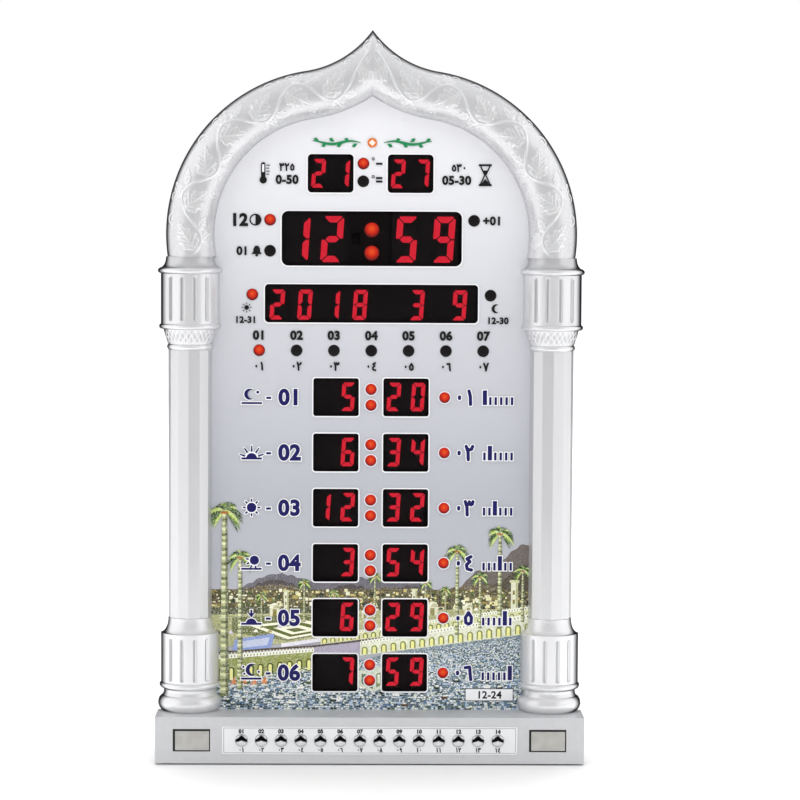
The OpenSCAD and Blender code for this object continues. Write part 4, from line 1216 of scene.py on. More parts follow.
TIME_LAMP_X = TIME_W / 2 + 7
ALARM_LAMP_X = TIME_W / 2 + 7.3
DATE_LAMP_X = DATE_W / 2 + 7.55
DEGREE_LAMP = (-5.3, COUNTER_Z + 6)
OTHER_DEGREE_LAMP = (-5.3, COUNTER_Z - 4.7)
HALF_DAY_LAMP = (-TIME_LAMP_X, TIME_Z + 11.1)
BELL_LAMP = (-TIME_LAMP_X, TIME_Z - 7.6)
SHIFT_LAMP = (ALARM_LAMP_X, TIME_Z + 11.1)
SUN_LAMP = (-DATE_LAMP_X, DATE_Z + 5.2)
MOON_LAMP = (DATE_LAMP_X, DATE_Z + 5.2)
DAY_XS = [(i - (DAYS - 1) / 2) * DAY_STEP for i in range(DAYS)]

lamp_row("status_leds", [DEGREE_LAMP, HALF_DAY_LAMP, SUN_LAMP],
         [OTHER_DEGREE_LAMP, BELL_LAMP, SHIFT_LAMP, MOON_LAMP], LAMP_R)
lamp_row("weekday_leds", [(DAY_XS[0], DAY_Z)], [(x, DAY_Z) for x in DAY_XS[1:]], LAMP_R)
lamp_row("row_leds", [(ROW_LAMP_X, z) for z in ROW_ZS], [], LAMP_R)
lamp_row("row_colon_leds", [(0, z + s * COLON_HALF) for z in ROW_ZS for s in (-1, 1)], [], COLON_R)
lamp_row("time_colon_leds", [(0, TIME_Z - BIG_COLON_DROP + s * BIG_COLON_HALF) for s in (-1, 1)], [],
         BIG_COLON_R)


# ---------- print on the panel and the label strip ----------

LAYER = 0.012                       # from one layer of ink to the next
HAIR = 0.0009                       # keeps patches of the same layer apart
SIGN_LIFT = LAYER * 50              # the panel's signs lie in front of its picture
FIGURE_H = 0.69                     # height of a plain figure one unit in size
FIGURE_SPACE = 1.06
PEN_STEP = 0.78                     # from one pen figure to the next, in shares of their height

# Routes of the pen in a box one unit high, centred on the figure
PEN_ROUTES = {
    "0": [[(0, 0.06), (0, -0.06)]],
    "1": [[(-0.08, 0.5), (0.02, 0.1), (0.04, -0.5)]],
    "2": [[(-0.26, 0.5), (-0.12, 0.1), (-0.1, -0.5)],
          [(-0.22, 0.36), (-0.06, 0.24), (0.14, 0.28), (0.22, 0.5)]],
    "3": [[(-0.30, 0.5), (-0.17, 0.1), (-0.15, -0.5)],
          [(-0.26, 0.36), (-0.14, 0.25), (-0.02, 0.32), (0, 0.48)],
          [(0, 0.36), (0.12, 0.25), (0.24, 0.32), (0.27, 0.5)]],
    "4": [[(0.16, 0.5), (-0.14, 0.34), (0.08, 0.12), (-0.18, -0.12), (-0.12, -0.42), (0.2, -0.5)]],
    "5": [[(0, 0.42), (0.22, 0.05), (0.2, -0.32), (0, -0.44), (-0.2, -0.32), (-0.22, 0.05), (0, 0.42)]],
    "6": [[(-0.22, 0.40), (0.12, 0.44), (0.14, 0.1), (0.2, -0.5)]],
    "7": [[(-0.28, 0.5), (-0.1, 0.05), (0, -0.5), (0.1, 0.05), (0.28, 0.5)]],
    "8": [[(-0.28, -0.5), (-0.1, -0.05), (0, 0.5), (0.1, -0.05), (0.28, -0.5)]],
    "9": [[(0.14, 0.1), (-0.06, 0.08), (-0.16, 0.28), (-0.02, 0.46), (0.12, 0.38), (0.14, 0.1),
           (0.18, -0.5)]],
}


def ink(code):
    """Linear colour of a hexadecimal screen colour."""
    parts = [int(code[i:i + 2], 16) / 255 for i in (0, 2, 4)]
    return tuple(c / 12.92 if c < 0.04045 else ((c + 0.055) / 1.055) ** 2.4 for c in parts)


BLACK_INK = ink("121214")
NAVY = ink("0F085A")
WHITE_INK = ink("F6F6F8")
GREEN_INK = ink("1E8A55")


def cut_by(outline, axis, limit, keep_above):
    """The part of an outline on one side of a line."""
    kept = []
    for i, q in enumerate(outline):
        p = outline[i - 1]
        p_in = (p[axis] >= limit) == keep_above
        q_in = (q[axis] >= limit) == keep_above
        if p_in != q_in:
            t = (limit - p[axis]) / (q[axis] - p[axis])
            kept.append((p[0] + (q[0] - p[0]) * t, p[1] + (q[1] - p[1]) * t))
        if q_in:
            kept.append(q)
    return kept


def clipped(outline, x0, z0, x1, z1):
    """The part of an outline inside a rectangle."""
    for axis, limit, keep_above in ((0, x0, True), (0, x1, False), (1, z0, True), (1, z1, False)):
        outline = cut_by(outline, axis, limit, keep_above)
        if len(outline) < 3:
            return []
    return outline


class PrintSheet:
    """Flat patches of ink on a face that looks towards -Y; a higher layer lies in front."""

    def __init__(self, name, face_y, tiles=None):
        """tiles are the rectangles that the print is kept to."""
        self.name = name
        self.face_y = face_y
        self.tiles = tiles
        self.points = []
        self.faces = []
        self.inks = []
        self.grits = []
        self.grit = 0.0
        self.patches = 0

    def patch(self, outline, colour, layer=0):
        """One flat shape from its outline."""
        pieces = [outline]
        if self.tiles:
            pieces = [clipped(list(outline), *tile) for tile in self.tiles]
        for piece in pieces:
            if len(piece) < 3:
                continue
            self.patches += 1
            y = self.face_y - LAYER * (layer + 1) - HAIR * (self.patches % 11)
            loop = [Vector((x, y, z)) for x, z in piece]
            start = len(self.points)
            for a, b, c in tessellate_polygon([loop]):
                area = (loop[b] - loop[a]).cross(loop[c] - loop[a]).y
                if abs(area) > 1e-6:
                    face = (a, b, c) if area < 0 else (a, c, b)
                    self.faces.append(tuple(start + v for v in face))
            self.points += loop
            self.inks += [colour] * len(loop)
            self.grits += [self.grit] * len(loop)

    def box(self, x0, z0, x1, z1, colour, layer=0):
        """A rectangle from its lower left to its upper right corner."""
        self.patch([(x0, z0), (x1, z0), (x1, z1), (x0, z1)], colour, layer)

    def disc(self, x, z, r, colour, layer=0, start=0, end=360, count=28):
        """A disc, or the part of one between two angles in degrees."""
        loop = arc_points(x, z, r, start, end, count)
        self.patch(loop[:-1] if end - start == 360 else loop, colour, layer)

    def ring(self, x, z, r, width, colour, layer=0, count=28):
        """A round line that lies inside the radius r."""
        outer = arc_points(x, z, r, 0, 360, count)
        inner = arc_points(x, z, r - width, 0, 360, count)
        for i in range(count):
            self.patch([outer[i], outer[i + 1], inner[i + 1], inner[i]], colour, layer)

    def stroke(self, route, widths, colour, layer=0):
        """A line along a route that swells and thins; widths has one value for each point."""
        for (p, q), (v, w) in zip(zip(route, route[1:]), zip(widths, widths[1:])):
            length = math.hypot(q[0] - p[0], q[1] - p[1])
            if length < 1e-6:
                continue
            nx, nz = (p[1] - q[1]) / length / 2, (q[0] - p[0]) / length / 2
            self.patch([(p[0] - nx * v, p[1] - nz * v), (q[0] - nx * w, q[1] - nz * w),
                        (q[0] + nx * w, q[1] + nz * w), (p[0] + nx * v, p[1] + nz * v)], colour, layer)

    def figures(self, text, x, z, height, colour, layer=0, swell=0.0):
        """Plain figures centred on x and z; swell thickens them."""
        curve = bpy.data.curves.new("figures", "FONT")
        curve.body = text
        curve.align_x = "CENTER"
        curve.resolution_u = 5
        curve.space_character = FIGURE_SPACE
        curve.offset = swell
        holder = put_in_scene("figures", curve)
        bpy.context.view_layer.update()
        shown = holder.evaluated_get(bpy.context.evaluated_depsgraph_get())
        mesh = shown.to_mesh()
        scale = height / FIGURE_H
        for face in mesh.polygons:
            outline = [mesh.vertices[v].co for v in face.vertices]
            placed = [(x + c.x * scale, z + (c.y - FIGURE_H / 2) * scale) for c in outline]
            self.patch(placed, colour, layer)
        shown.to_mesh_clear()
        bpy.data.objects.remove(holder)
        bpy.data.curves.remove(curve)

    def pen_figures(self, text, x, z, height, pen, colour, layer=0, grow=0.0):
        """Arabic-Indic figures drawn with a round pen, centred on x and z."""
        step = PEN_STEP * height
        for i, figure in enumerate(text):
            middle_x = x + (i - (len(text) - 1) / 2) * step
            for route in PEN_ROUTES[figure]:
                route = [(middle_x + px * height, z + pz * height) for px, pz in route]
                width = pen + 2 * grow
                self.stroke(route, [width] * len(route), colour, layer)
                for px, pz in route:
                    self.disc(px, pz, width / 2, colour, layer, count=10)

    def build(self, slot):
        """Makes the sheet's mesh and puts it on the case."""
        obj = make_object(self.name, self.points, self.faces, INK, smooth=False)
        layer = obj.data.attributes.new("ink", "FLOAT_COLOR", "POINT")
        layer.data.foreach_set("color", [v for c in self.inks for v in (*c, 1.0)])
        set_point_values(obj.data, "grit", self.grits)
        hand_over(obj, slot)


def window_places():
    """(x, z, width, height, corner radius) of every window."""
    places = [(0, TIME_Z, TIME_W, TIME_H, 4.0), (0, DATE_Z, DATE_W, DATE_H, 2.3)]
    places += [(x, COUNTER_Z, SMALL_W, SMALL_H, 2.4) for x in COUNTER_XS]
    places += [(s * SMALL_X, z, SMALL_W, SMALL_H, 1.5) for z in ROW_ZS for s in (-1, 1)]
    return places


def round_outline(x, z, w, h, r):
    """Outline of a rectangle with round corners."""
    loop = []
    for cx, cz, start in ((1, 1, 0), (-1, 1, 90), (-1, -1, 180), (1, -1, 270)):
        loop += arc_points(x + cx * (w / 2 - r), z + cz * (h / 2 - r), r, start, start + 90, 8)
    return loop


def window_borders(sheet, layer):
    """A white line printed round each window."""
    width = 0.7
    for x, z, w, h, r in window_places():
        outer = round_outline(x, z, w + 2 * width, h + 2 * width, r + width)
        inner = round_outline(x, z, w, h, r)
        for i in range(len(outer)):
            sheet.patch([outer[i - 1], outer[i], inner[i], inner[i - 1]], WHITE_INK, layer)


def lamp_borders(sheet, layer):
    """A pale line printed round each lamp of the rows."""
    pale = ink("E6E6EE")
    for z in ROW_ZS:
        sheet.ring(ROW_LAMP_X, z, LAMP_R + 0.5, 0.6, pale, layer)
        for s in (-1, 1):
            sheet.ring(0, z + s * COLON_HALF, COLON_R + 0.45, 0.6, pale, layer)


def crescent(sheet, x, z, r, colour, layer):
    """A moon open to the right, from quads between its outer and its inner arc."""
    count = 24
    outer = arc_points(x, z, r, 60, 300, count)
    inner = arc_points(x + r * 0.45, z, r * 0.82, 70, 290, count)
    for i in range(count):
        sheet.patch([outer[i], outer[i + 1], inner[i + 1], inner[i]], colour, layer)


def rays(sheet, x, z, inner, outer, start, end, count, width, colour, layer):
    """Strokes that run out from a middle between two angles in degrees."""
    for i in range(count):
        a = math.radians(start + (end - start) * i / (count - 1))
        c, s = math.cos(a), math.sin(a)
        sheet.stroke([(x + inner * c, z + inner * s), (x + outer * c, z + outer * s)], [width, width * 0.6],
                     colour, layer)


def sky_sign(sheet, row, x, z, colour, layer, grow=0.0):
    """Sign of the sun's place in the sky at a row's time; grow thickens it for the light edge behind it."""
    thick = 1.25 + 2 * grow
    ground = z - 3.8
    if row != 2:
        sheet.stroke([(x - 6.2 - grow, ground), (x + 6.2 + grow, ground)], [thick, thick], colour, layer)
    if row == 0:
        crescent(sheet, x - 1.2, z + 1.6, 3.4 + grow, colour, layer)
        sheet.disc(x + 3.6, z + 2.8, 0.9 + grow, colour, layer)
    elif row == 1:
        sheet.disc(x, ground, 3.3 + grow, colour, layer, 0, 180)
        rays(sheet, x, ground, 4.2 - grow, 7.8 + grow, 20, 160, 5, thick, colour, layer)
    elif row == 2:
        sheet.disc(x, z, 2.9 + grow, colour, layer)
        rays(sheet, x, z, 3.6 - grow, 5.4 + grow, 0, 315, 8, thick, colour, layer)
    elif row == 3:
        sheet.disc(x + 1.8, z + 1.5, 2.8 + grow, colour, layer)
        rays(sheet, x + 1.8, z + 1.5, 3.5 - grow, 5.4 + grow, 170, 280, 4, thick, colour, layer)
    elif row == 4:
        sheet.disc(x, ground, 3.3 + grow, colour, layer, 0, 180)
        arrow = [(x - 2.1 - grow, ground + 6.6), (x + 2.1 + grow, ground + 6.6), (x, ground + 3.8 - grow)]
        sheet.patch(arrow, colour, layer)
        sheet.stroke([(x, ground + 6.2), (x, ground + 8.6 + grow)], [thick, thick], colour, layer)
    else:
        crescent(sheet, x + 0.4, z + 1.6, 3.8 + grow, colour, layer)
        for dx, dz in ((-4.8, 3.4), (4.6, 0.4), (-4.2, -0.8)):
            sheet.disc(x + dx, z + dz, 0.7 + grow, colour, layer, count=12)


def step_gauge(sheet, row, x, z, colour, layer, grow=0.0):
    """Six upright steps, of which the row's own is tall and broad."""
    for k in range(ROWS):
        own = k == row
        half_w = (1.3 if own else 0.75) + grow
        top = (4.5 if own else 0.4) + grow
        sheet.box(x + k * 3.3 - half_w, z - 4.4 - grow, x + k * 3.3 + half_w, z + top, colour, layer)


# Places of a row's labels across the panel
SKY_SIGN_X = -72.2
DASH_X = (-63.4, -60.4)
NUMBER_X = -49.2
PEN_NUMBER_X = 56.8
GAUGE_X = 69.0
LIGHT_EDGE = 0.55
BOLD = 0.045                        # how much plain figures are thickened


def row_labels(sheet, layer):
    """Navy labels with a light edge: sky sign and number on the left, number and gauge on the right."""
    for row, z in enumerate(ROW_ZS):
        number = "0%d" % (row + 1)
        for colour, grow, lift in ((WHITE_INK, LIGHT_EDGE, 0), (NAVY, 0.0, 1)):
            at = layer + lift
            dash = [(DASH_X[0] - grow, z - 0.6), (DASH_X[1] + grow, z - 0.6)]
            sky_sign(sheet, row, SKY_SIGN_X, z, colour, at, grow)
            sheet.stroke(dash, [1.4 + 2 * grow] * 2, colour, at)
            sheet.figures(number, NUMBER_X, z, 9.0, colour, at, BOLD + grow * 0.075)
            sheet.pen_figures(number, PEN_NUMBER_X, z, 8.2, 2.05, colour, at, grow)
            step_gauge(sheet, row, GAUGE_X, z, colour, at, grow)


def thermometer(sheet, x, z, layer):
    """A bulb and tube with marks on its right."""
    sheet.disc(x, z - 4.2, 2.2, BLACK_INK, layer)
    sheet.stroke([(x, z - 3), (x, z + 5.2)], [2.6, 2.6], BLACK_INK, layer)
    sheet.disc(x, z + 5.2, 1.3, BLACK_INK, layer)
    sheet.stroke([(x, z + 0.6), (x, z + 5.2)], [1.3, 1.3], WHITE_INK, layer + 1)
    for k in range(4):
        sheet.box(x + 1.9, z - 1.0 + 1.8 * k, x + 3.6 + 0.5 * (k % 2), z - 0.5 + 1.8 * k, BLACK_INK, layer)


def sand_glass(sheet, x, z, layer):
    """Two bars, the glass between them and the sand in it."""
    for s in (-1, 1):
        side = [(x + s * 2.9, z + 5.6), (x + s * 0.3, z), (x + s * 2.9, z - 5.6)]
        sheet.box(x - 3.9, z + s * 6 - 0.6, x + 3.9, z + s * 6 + 0.6, BLACK_INK, layer)
        sheet.stroke(side, [0.8] * 3, BLACK_INK, layer)
    sheet.patch([(x - 2.5, z - 5.4), (x + 2.5, z - 5.4), (x, z - 2.2)], BLACK_INK, layer)
    sheet.patch([(x - 1.4, z + 2.8), (x + 1.4, z + 2.8), (x, z + 0.2)], BLACK_INK, layer)


def bell(sheet, x, z, layer):
    """A bell with its clapper below."""
    right = [(3.2, -2.0), (2.1, -0.6), (1.9, 1.5), (0.8, 3.0)]
    left = [(-dx, dz) for dx, dz in reversed(right)]
    sheet.patch([(x + dx, z + dz) for dx, dz in right + left], BLACK_INK, layer)
    sheet.disc(x, z - 2.7, 0.85, BLACK_INK, layer, count=12)


def upper_signs(sheet, layer):
    """Black signs and plain figures round the upper windows."""
    thermometer(sheet, -65.6, COUNTER_Z, layer)
    sheet.figures("0-50", -51.2, COUNTER_Z - 3.8, 4.9, BLACK_INK, layer, BOLD)
    sheet.pen_figures("325", -51.2, COUNTER_Z + 3.6, 4.0, 0.95, BLACK_INK, layer)
    sand_glass(sheet, 68.2, COUNTER_Z - 0.6, layer)
    sheet.figures("05-30", 51.0, COUNTER_Z - 3.8, 4.9, BLACK_INK, layer, BOLD)
    sheet.pen_figures("530", 52.5, COUNTER_Z + 3.6, 4.0, 0.95, BLACK_INK, layer)
    for z, bars in ((DEGREE_LAMP[1] + 1.2, 1), (OTHER_DEGREE_LAMP[1] + 1.2, 2)):
        sheet.ring(0.6, z + 1.6, 0.95, 0.5, BLACK_INK, layer, count=16)
        for k in range(bars):
            sheet.box(2.3, z - 1.9 + 2.1 * k, 6.2, z - 0.7 + 2.1 * k, BLACK_INK, layer)
    x, z = HALF_DAY_LAMP[0] - 8.8, HALF_DAY_LAMP[1]
    sheet.ring(x, z, 3.6, 0.8, BLACK_INK, layer)
    sheet.disc(x, z, 3.3, BLACK_INK, layer, -90, 90)
    sheet.figures("12", x - 9.8, z, 7.0, BLACK_INK, layer, BOLD)
    x, z = BELL_LAMP[0] - 8.0, BELL_LAMP[1]
    bell(sheet, x, z, layer)
    sheet.figures("01", x - 8.6, z, 4.7, BLACK_INK, layer, BOLD)
    sheet.figures("+01", SHIFT_LAMP[0] + 11.0, SHIFT_LAMP[1], 4.8, BLACK_INK, layer, BOLD)
    x, z = SUN_LAMP[0] - 3.4, SUN_LAMP[1]
    sheet.disc(x, z - 7.9, 1.4, BLACK_INK, layer)
    rays(sheet, x, z - 7.9, 2.0, 3.1, 0, 315, 8, 0.6, BLACK_INK, layer)
    sheet.figures("12-31", x - 0.6, z - 15.2, 3.7, BLACK_INK, layer, BOLD)
    x = MOON_LAMP[0] + 3.4
    crescent(sheet, x, z - 7.9, 2.7, BLACK_INK, layer)
    sheet.figures("12-30", x + 1.0, z - 15.2, 3.7, BLACK_INK, layer, BOLD)


def day_numbers(sheet, layer):
    """Days of the week by number, above and below their lamps."""
    for day, x in enumerate(DAY_XS):
        number = "0%d" % (day + 1)
        sheet.figures(number, x, DAY_Z + 9.2, 5.0, BLACK_INK, layer, 0.05)
        sheet.pen_figures(number, x, DAY_Z - 9.6, 4.4, 1.1, BLACK_INK, layer)


def small_label(sheet, layer):
    """A white label with plain figures near the panel's foot."""
    x, z, half_w, half_h = 73.0, PLINTH_TOP_Z + 9.2, 14.4, 3.5
    sheet.box(x - half_w - 0.4, z - half_h - 0.4, x + half_w + 0.4, z + half_h + 0.4, BLACK_INK, layer)
    sheet.box(x - half_w, z - half_h, x + half_w, z + half_h, WHITE_INK, layer + 1)
    sheet.figures("12-24", x, z, 4.3, BLACK_INK, layer + 2, 0.03)


def crest(sheet, layer):
    """A thin green ornament above the counters."""
    z = COUNTER_Z + 18.5
    for s in (-1, 1):
        route = [(s * (7 + k * 2.9), z + math.sin(k * math.pi / 4)) for k in range(11)]
        sheet.stroke(route, [0.4 + 1.3 * math.sin(k * math.pi / 10) for k in range(11)], GREEN_INK, layer)
        for k in range(6):
            x = s * (10.5 + k * 4.6)
            lift = 1 if k % 2 else -1
            leaf = [(x - s * 1.6, z + lift * 0.6), (x, z + lift * 2.9), (x + s * 1.9, z + lift * 2.4),
                    (x + s * 0.7, z + lift * 0.6)]
            sheet.patch(leaf, GREEN_INK, layer + 1)
    sheet.disc(0, z, 2.9, ink("E4762E"), layer)
    sheet.patch([(0, z + 2.0), (2.0, z), (0, z - 2.0), (-2.0, z)], ink("F7EBDD"), layer + 1)


def strip_print(sheet):
    """Border of the button strip, and a number in two scripts for each button."""
    half_w, half_h, line = 87.6, 7.5, 0.14
    grey = ink("8C8C90")
    for s in (-1, 1):
        sheet.box(-half_w, BUTTON_Z + s * half_h - line, half_w, BUTTON_Z + s * half_h + line, grey, 0)
        sheet.box(s * half_w - line, BUTTON_Z - half_h, s * half_w + line, BUTTON_Z + half_h, grey, 0)
    for i, x in enumerate(button_xs()):
        number = "%02d" % (i + 1)
        sheet.figures(number, x, BUTTON_Z + 5.6, 2.2, BLACK_INK, 1, 0.07)
        sheet.pen_figures(number, x, BUTTON_Z - 5.7, 2.2, 0.65, BLACK_INK, 1)


# ---------- river town printed on the lower panel ----------

ART_TOP = 172.0
ART_HALF_W = 99.0
ART_FOOT = PLINTH_TOP_Z - 2.5


def art_tiles():
    """The lower panel as rectangles that leave the windows free."""
    tiles = []
    past = 0.3
    edge = SMALL_H / 2 + past
    inner, outer = SMALL_X - SMALL_W / 2 - past, SMALL_X + SMALL_W / 2 + past
    ceiling = ART_TOP
    for z in ROW_ZS:
        if z + edge > ART_TOP:
            continue
        tiles.append((-ART_HALF_W, z + edge, ART_HALF_W, ceiling))
        for x0, x1 in ((-ART_HALF_W, -outer), (-inner, inner), (outer, ART_HALF_W)):
            tiles.append((x0, z - edge, x1, z + edge))
        ceiling = z - edge
    tiles.append((-ART_HALF_W, ART_FOOT, ART_HALF_W, ceiling))
    return tiles


def inks(codes):
    """Colours from their codes in one line."""
    return [ink(code) for code in codes.split()]


def mixed(a, b, t):
    """The colour that lies a share t of the way from a to b."""
    return tuple(p + (q - p) * t for p, q in zip(a, b))


def hill_line(x0, x1, base, peaks):
    """Outline of hills over a level base; peaks are (x, height, half width)."""
    line = [(x0, base)]
    for k in range(int((x1 - x0) / 1.8) + 1):
        x = x0 + 1.8 * k
        rise = sum(h * math.exp(-((x - px) / w) ** 2) for px, h, w in peaks)
        line.append((x, base + rise + 0.45 * math.sin(x * 0.9) + 0.25 * math.sin(x * 2.3)))
    return line + [(x1, base)]


# Each range: its two ends, its foot, its peaks of (x, height, half width), colour, layer and grit
HILLS = (
    (-86, 45, 94, [(-56, 17.0, 27), (-10, 13.5, 21), (24, 13, 20)], "6C6872", 0, 0.10),
    (-84, 43, 94, [(-58, 13.5, 22), (-12, 10.5, 18), (25, 10, 16)], "50494A", 1, 0.10),
    (46, 99, 96, [(86, 23, 17), (64, 12, 11), (99, 18, 12)], "6E6560", 0, 0.10),
    (50, 99, 96, [(90, 17, 13), (68, 8, 9)], "544B3C", 1, 0.10),
    (-99, 99, 94, [(-60, 10, 30), (10, 8.5, 40), (70, 10, 26)], "6A5C40", 2, 0.3),
)


def draw_hills(sheet):
    """Two ranges of hills on each side and the low ground before them."""
    for x0, x1, foot, peaks, code, layer, grit in HILLS:
        sheet.grit = grit
        sheet.patch(hill_line(x0, x1, foot, peaks), ink(code), layer)


def draw_town(sheet):
    """Flat-roofed houses and trees between the hills and the river."""
    walls = inks("4B3F22 9A8840 D2C074 6A6C30 F1EBB4 322C1C B5A44C 564C2A FBFADC 8A7A40 E6DFB8 5E4A2A")
    greens = inks("36471C 4F5F22 222F12 6C7E30")
    sheet.grit = 0.25
    sheet.box(-99, 84, 99, 101.5, ink("5F5630"), 3)
    for row in range(9):
        x = -99.0
        near = 0.9 + 0.09 * row
        while x < 99:
            w = random.uniform(0.9, 3.4) * near
            h = random.uniform(0.7, 2.4) * near
            z = 101.6 - row * 2.1 + random.uniform(-0.8, 0.8)
            sheet.box(x, z - 2.2, x + w, z - 2.2 + h, random.choice(walls), 4 + 2 * row)
            if random.random() < 0.4:
                sheet.box(x + w * 0.2, z - 1.8, x + w * 0.2 + 0.9, z - 0.9, ink("FFFBC8"), 5 + 2 * row)
            x += w + random.uniform(0.2, 1.6)
    for row in range(4):
        x = -98.0
        while x < 98:
            r = random.uniform(0.6, 1.7)
            z = 97.5 - row * 4.2 + random.uniform(-1.8, 1.8)
            sheet.disc(x, z, r, random.choice(greens), 22 + row, count=8)
            x += 2 * r + random.uniform(0.3, 6.0)


def arcade(sheet, start, end, bays, height, wall, shade, layer):
    """A wall of round arches between two (x, z, scale) ends, with a parapet and lit openings."""
    (x0, z0, s0), (x1, z1, s1) = start, end
    top, parapet = height, height + 2.2
    sheet.grit = 0.35
    sheet.patch([(x0, z0), (x1, z1), (x1, z1 + top * s1), (x0, z0 + top * s0)], wall, layer)
    sheet.grit = 0.1
    rim = [(x0, z0 + top * s0), (x1, z1 + top * s1), (x1, z1 + parapet * s1), (x0, z0 + parapet * s0)]
    sheet.patch(rim, ink("FAFAEC"), layer + 1)
    for i in range(bays * 3):
        t = (i + 0.5) / (bays * 3)
        x, z, s = x0 + (x1 - x0) * t, z0 + (z1 - z0) * t, s0 + (s1 - s0) * t
        sheet.box(x - 0.35, z + parapet * s, x + 0.35, z + (parapet + 0.9) * s, ink("E6E6CC"), layer + 1)
        sheet.box(x - 0.3, z + (top + 0.5) * s, x + 0.3, z + (top + 1.5) * s, ink("6E7430"), layer + 2)
    for i in range(bays):
        t = (i + 0.5) / bays
        x, z, s = x0 + (x1 - x0) * t, z0 + (z1 - z0) * t, s0 + (s1 - s0) * t
        half = abs(x1 - x0) / bays * 0.31
        spring = z + top * s * 0.5
        opening = [(x - half, z + 0.5), (x + half, z + 0.5)] + arc_points(x, spring, half, 0, 180, 8)
        glow = [(x - half * 0.6, z + 0.5), (x + half * 0.5, z + 0.5)]
        glow += arc_points(x - half * 0.05, spring, half * 0.55, 0, 180, 6)
        sheet.patch(opening, shade, layer + 1)
        sheet.patch(glow, ink("F1EE9A"), layer + 2)


def kiosk(sheet, x, z, r, layer):
    """A round-roofed market stall."""
    sheet.box(x - r, z - r * 1.6, x + r, z, ink("EDEBCB"), layer)
    sheet.disc(x, z, r * 1.08, ink("F8F6DC"), layer + 1, 0, 180)
    sheet.disc(x + r * 0.35, z, r * 0.7, ink("C9C59A"), layer + 2, 0, 180)
    sheet.box(x - r * 0.4, z - r * 1.6, x + r * 0.4, z - 0.6, ink("8F8438"), layer + 2)


# Colour, layer and outline of the gardens, and of the paved quay with its pools, steps and wall
GARDENS = (
    ("BDBE84", 26, [(-99, 88), (99, 90), (99, 80), (30, 72), (-99, 66)]),
    ("4E5224", 27, [(-99, 90.5), (-20, 91), (-20, 87.5), (-99, 86)]),
    ("6F7630", 28, [(-84, 84.5), (-36, 86), (-8, 78), (-50, 70), (-84, 75)]),
)
QUAY = (
    ("B1A9BE", 28, [(-99, 60), (-10, 71), (55, 81), (99, 88), (99, 80), (40, 70), (-20, 62), (-99, 52)]),
    ("8FA2DC", 33, [(-82, 71), (-58, 74.5), (-60, 66), (-84, 63)]),
    ("C9D2EA", 34, [(-78, 69.6), (-61, 72.2), (-62.5, 67.4), (-79, 65.4)]),
    ("EFEAF4", 33, [(-54, 68.5), (-8, 75), (-9, 72.8), (-54, 66)]),
    ("4A3C20", 34, [(-99, 61.4), (-34, 66.2), (30, 74), (30, 75.1), (-34, 67.3), (-99, 62.8)]),
)
GARDEN_PATH = ((-74, 79.5), (-40, 83), (-16, 77), (-50, 71))    # the outermost of four, one in another
GARDEN_MIDDLE = (-45, 76.6)
KIOSKS = ((-58, 90, 3.0), (-30, 88, 2.3), (-3, 87.5, 2.1), (13, 88.5, 2.6), (38, 91, 3.2), (60, 91, 2.4))


def draw_quay(sheet):
    """Gardens, paved ground and market halls beside the river."""
    sheet.grit = 0.5
    for code, layer, outline in GARDENS:
        sheet.patch(outline, ink(code), layer)
    sheet.grit = 0.1
    middle_x, middle_z = GARDEN_MIDDLE
    for k in range(4):
        u = 1 - 0.26 * k
        path = [(middle_x + (x - middle_x) * u, middle_z + (z - middle_z) * u) for x, z in GARDEN_PATH]
        sheet.patch(path, ink("FBFAE0") if k % 2 == 0 else ink("5E6A24"), 29 + k)
    sheet.grit = 0.2
    for code, layer, outline in QUAY:
        sheet.patch(outline, ink(code), layer)
    for k in range(26):
        x = -92 + k * 7.4 + random.uniform(-1.5, 1.5)
        z = 71 + (x + 99) * 0.075 + random.uniform(0, 7)
        tone = random.choice(inks("FFFDEE E0D6EC 35451A B5A56A 6C5A28"))
        sheet.patch([(x - 1.6, z), (x + 1.6, z), (x + 0.4, z + 1.8), (x - 0.4, z + 1.8)], tone, 35)
    arcade(sheet, (-30, 68, 0.55), (99, 84, 0.85), 26, 7.0, ink("E2E4AC"), ink("6E7630"), 36)
    arcade(sheet, (-6, 61, 0.85), (99, 75, 1.2), 18, 8.0, ink("EEF0D6"), ink("7E8836"), 39)
    arcade(sheet, (-99, 43, 1.25), (-34, 52, 0.95), 11, 12, ink("9CA452"), ink("3C4A18"), 39)
    sheet.grit = 0.3
    for x, z, r in KIOSKS:
        kiosk(sheet, x, z, r, 36)


def water_gate(sheet, layer):
    """A stepped landing that runs out into the river."""
    landing = [(-7, 43), (2, 38.5), (17, 45), (17, 56), (-7, 52)]
    left_wall = [(-5, 44), (2, 40.5), (2, 49), (-5, 50)]
    right_wall = [(4, 41.5), (15, 46.5), (15, 53), (4, 50)]
    sheet.grit = 0.35
    sheet.patch(landing, ink("DDE4D2"), layer)
    sheet.patch(left_wall, ink("54704A"), layer + 1)
    sheet.patch(right_wall, ink("7E9460"), layer + 1)
    for k in range(4):
        sheet.box(4.8 + 2.6 * k, 44 + 1.2 * k, 6.2 + 2.6 * k, 49.5 + 0.9 * k, ink("EFF1DC"), layer + 2)


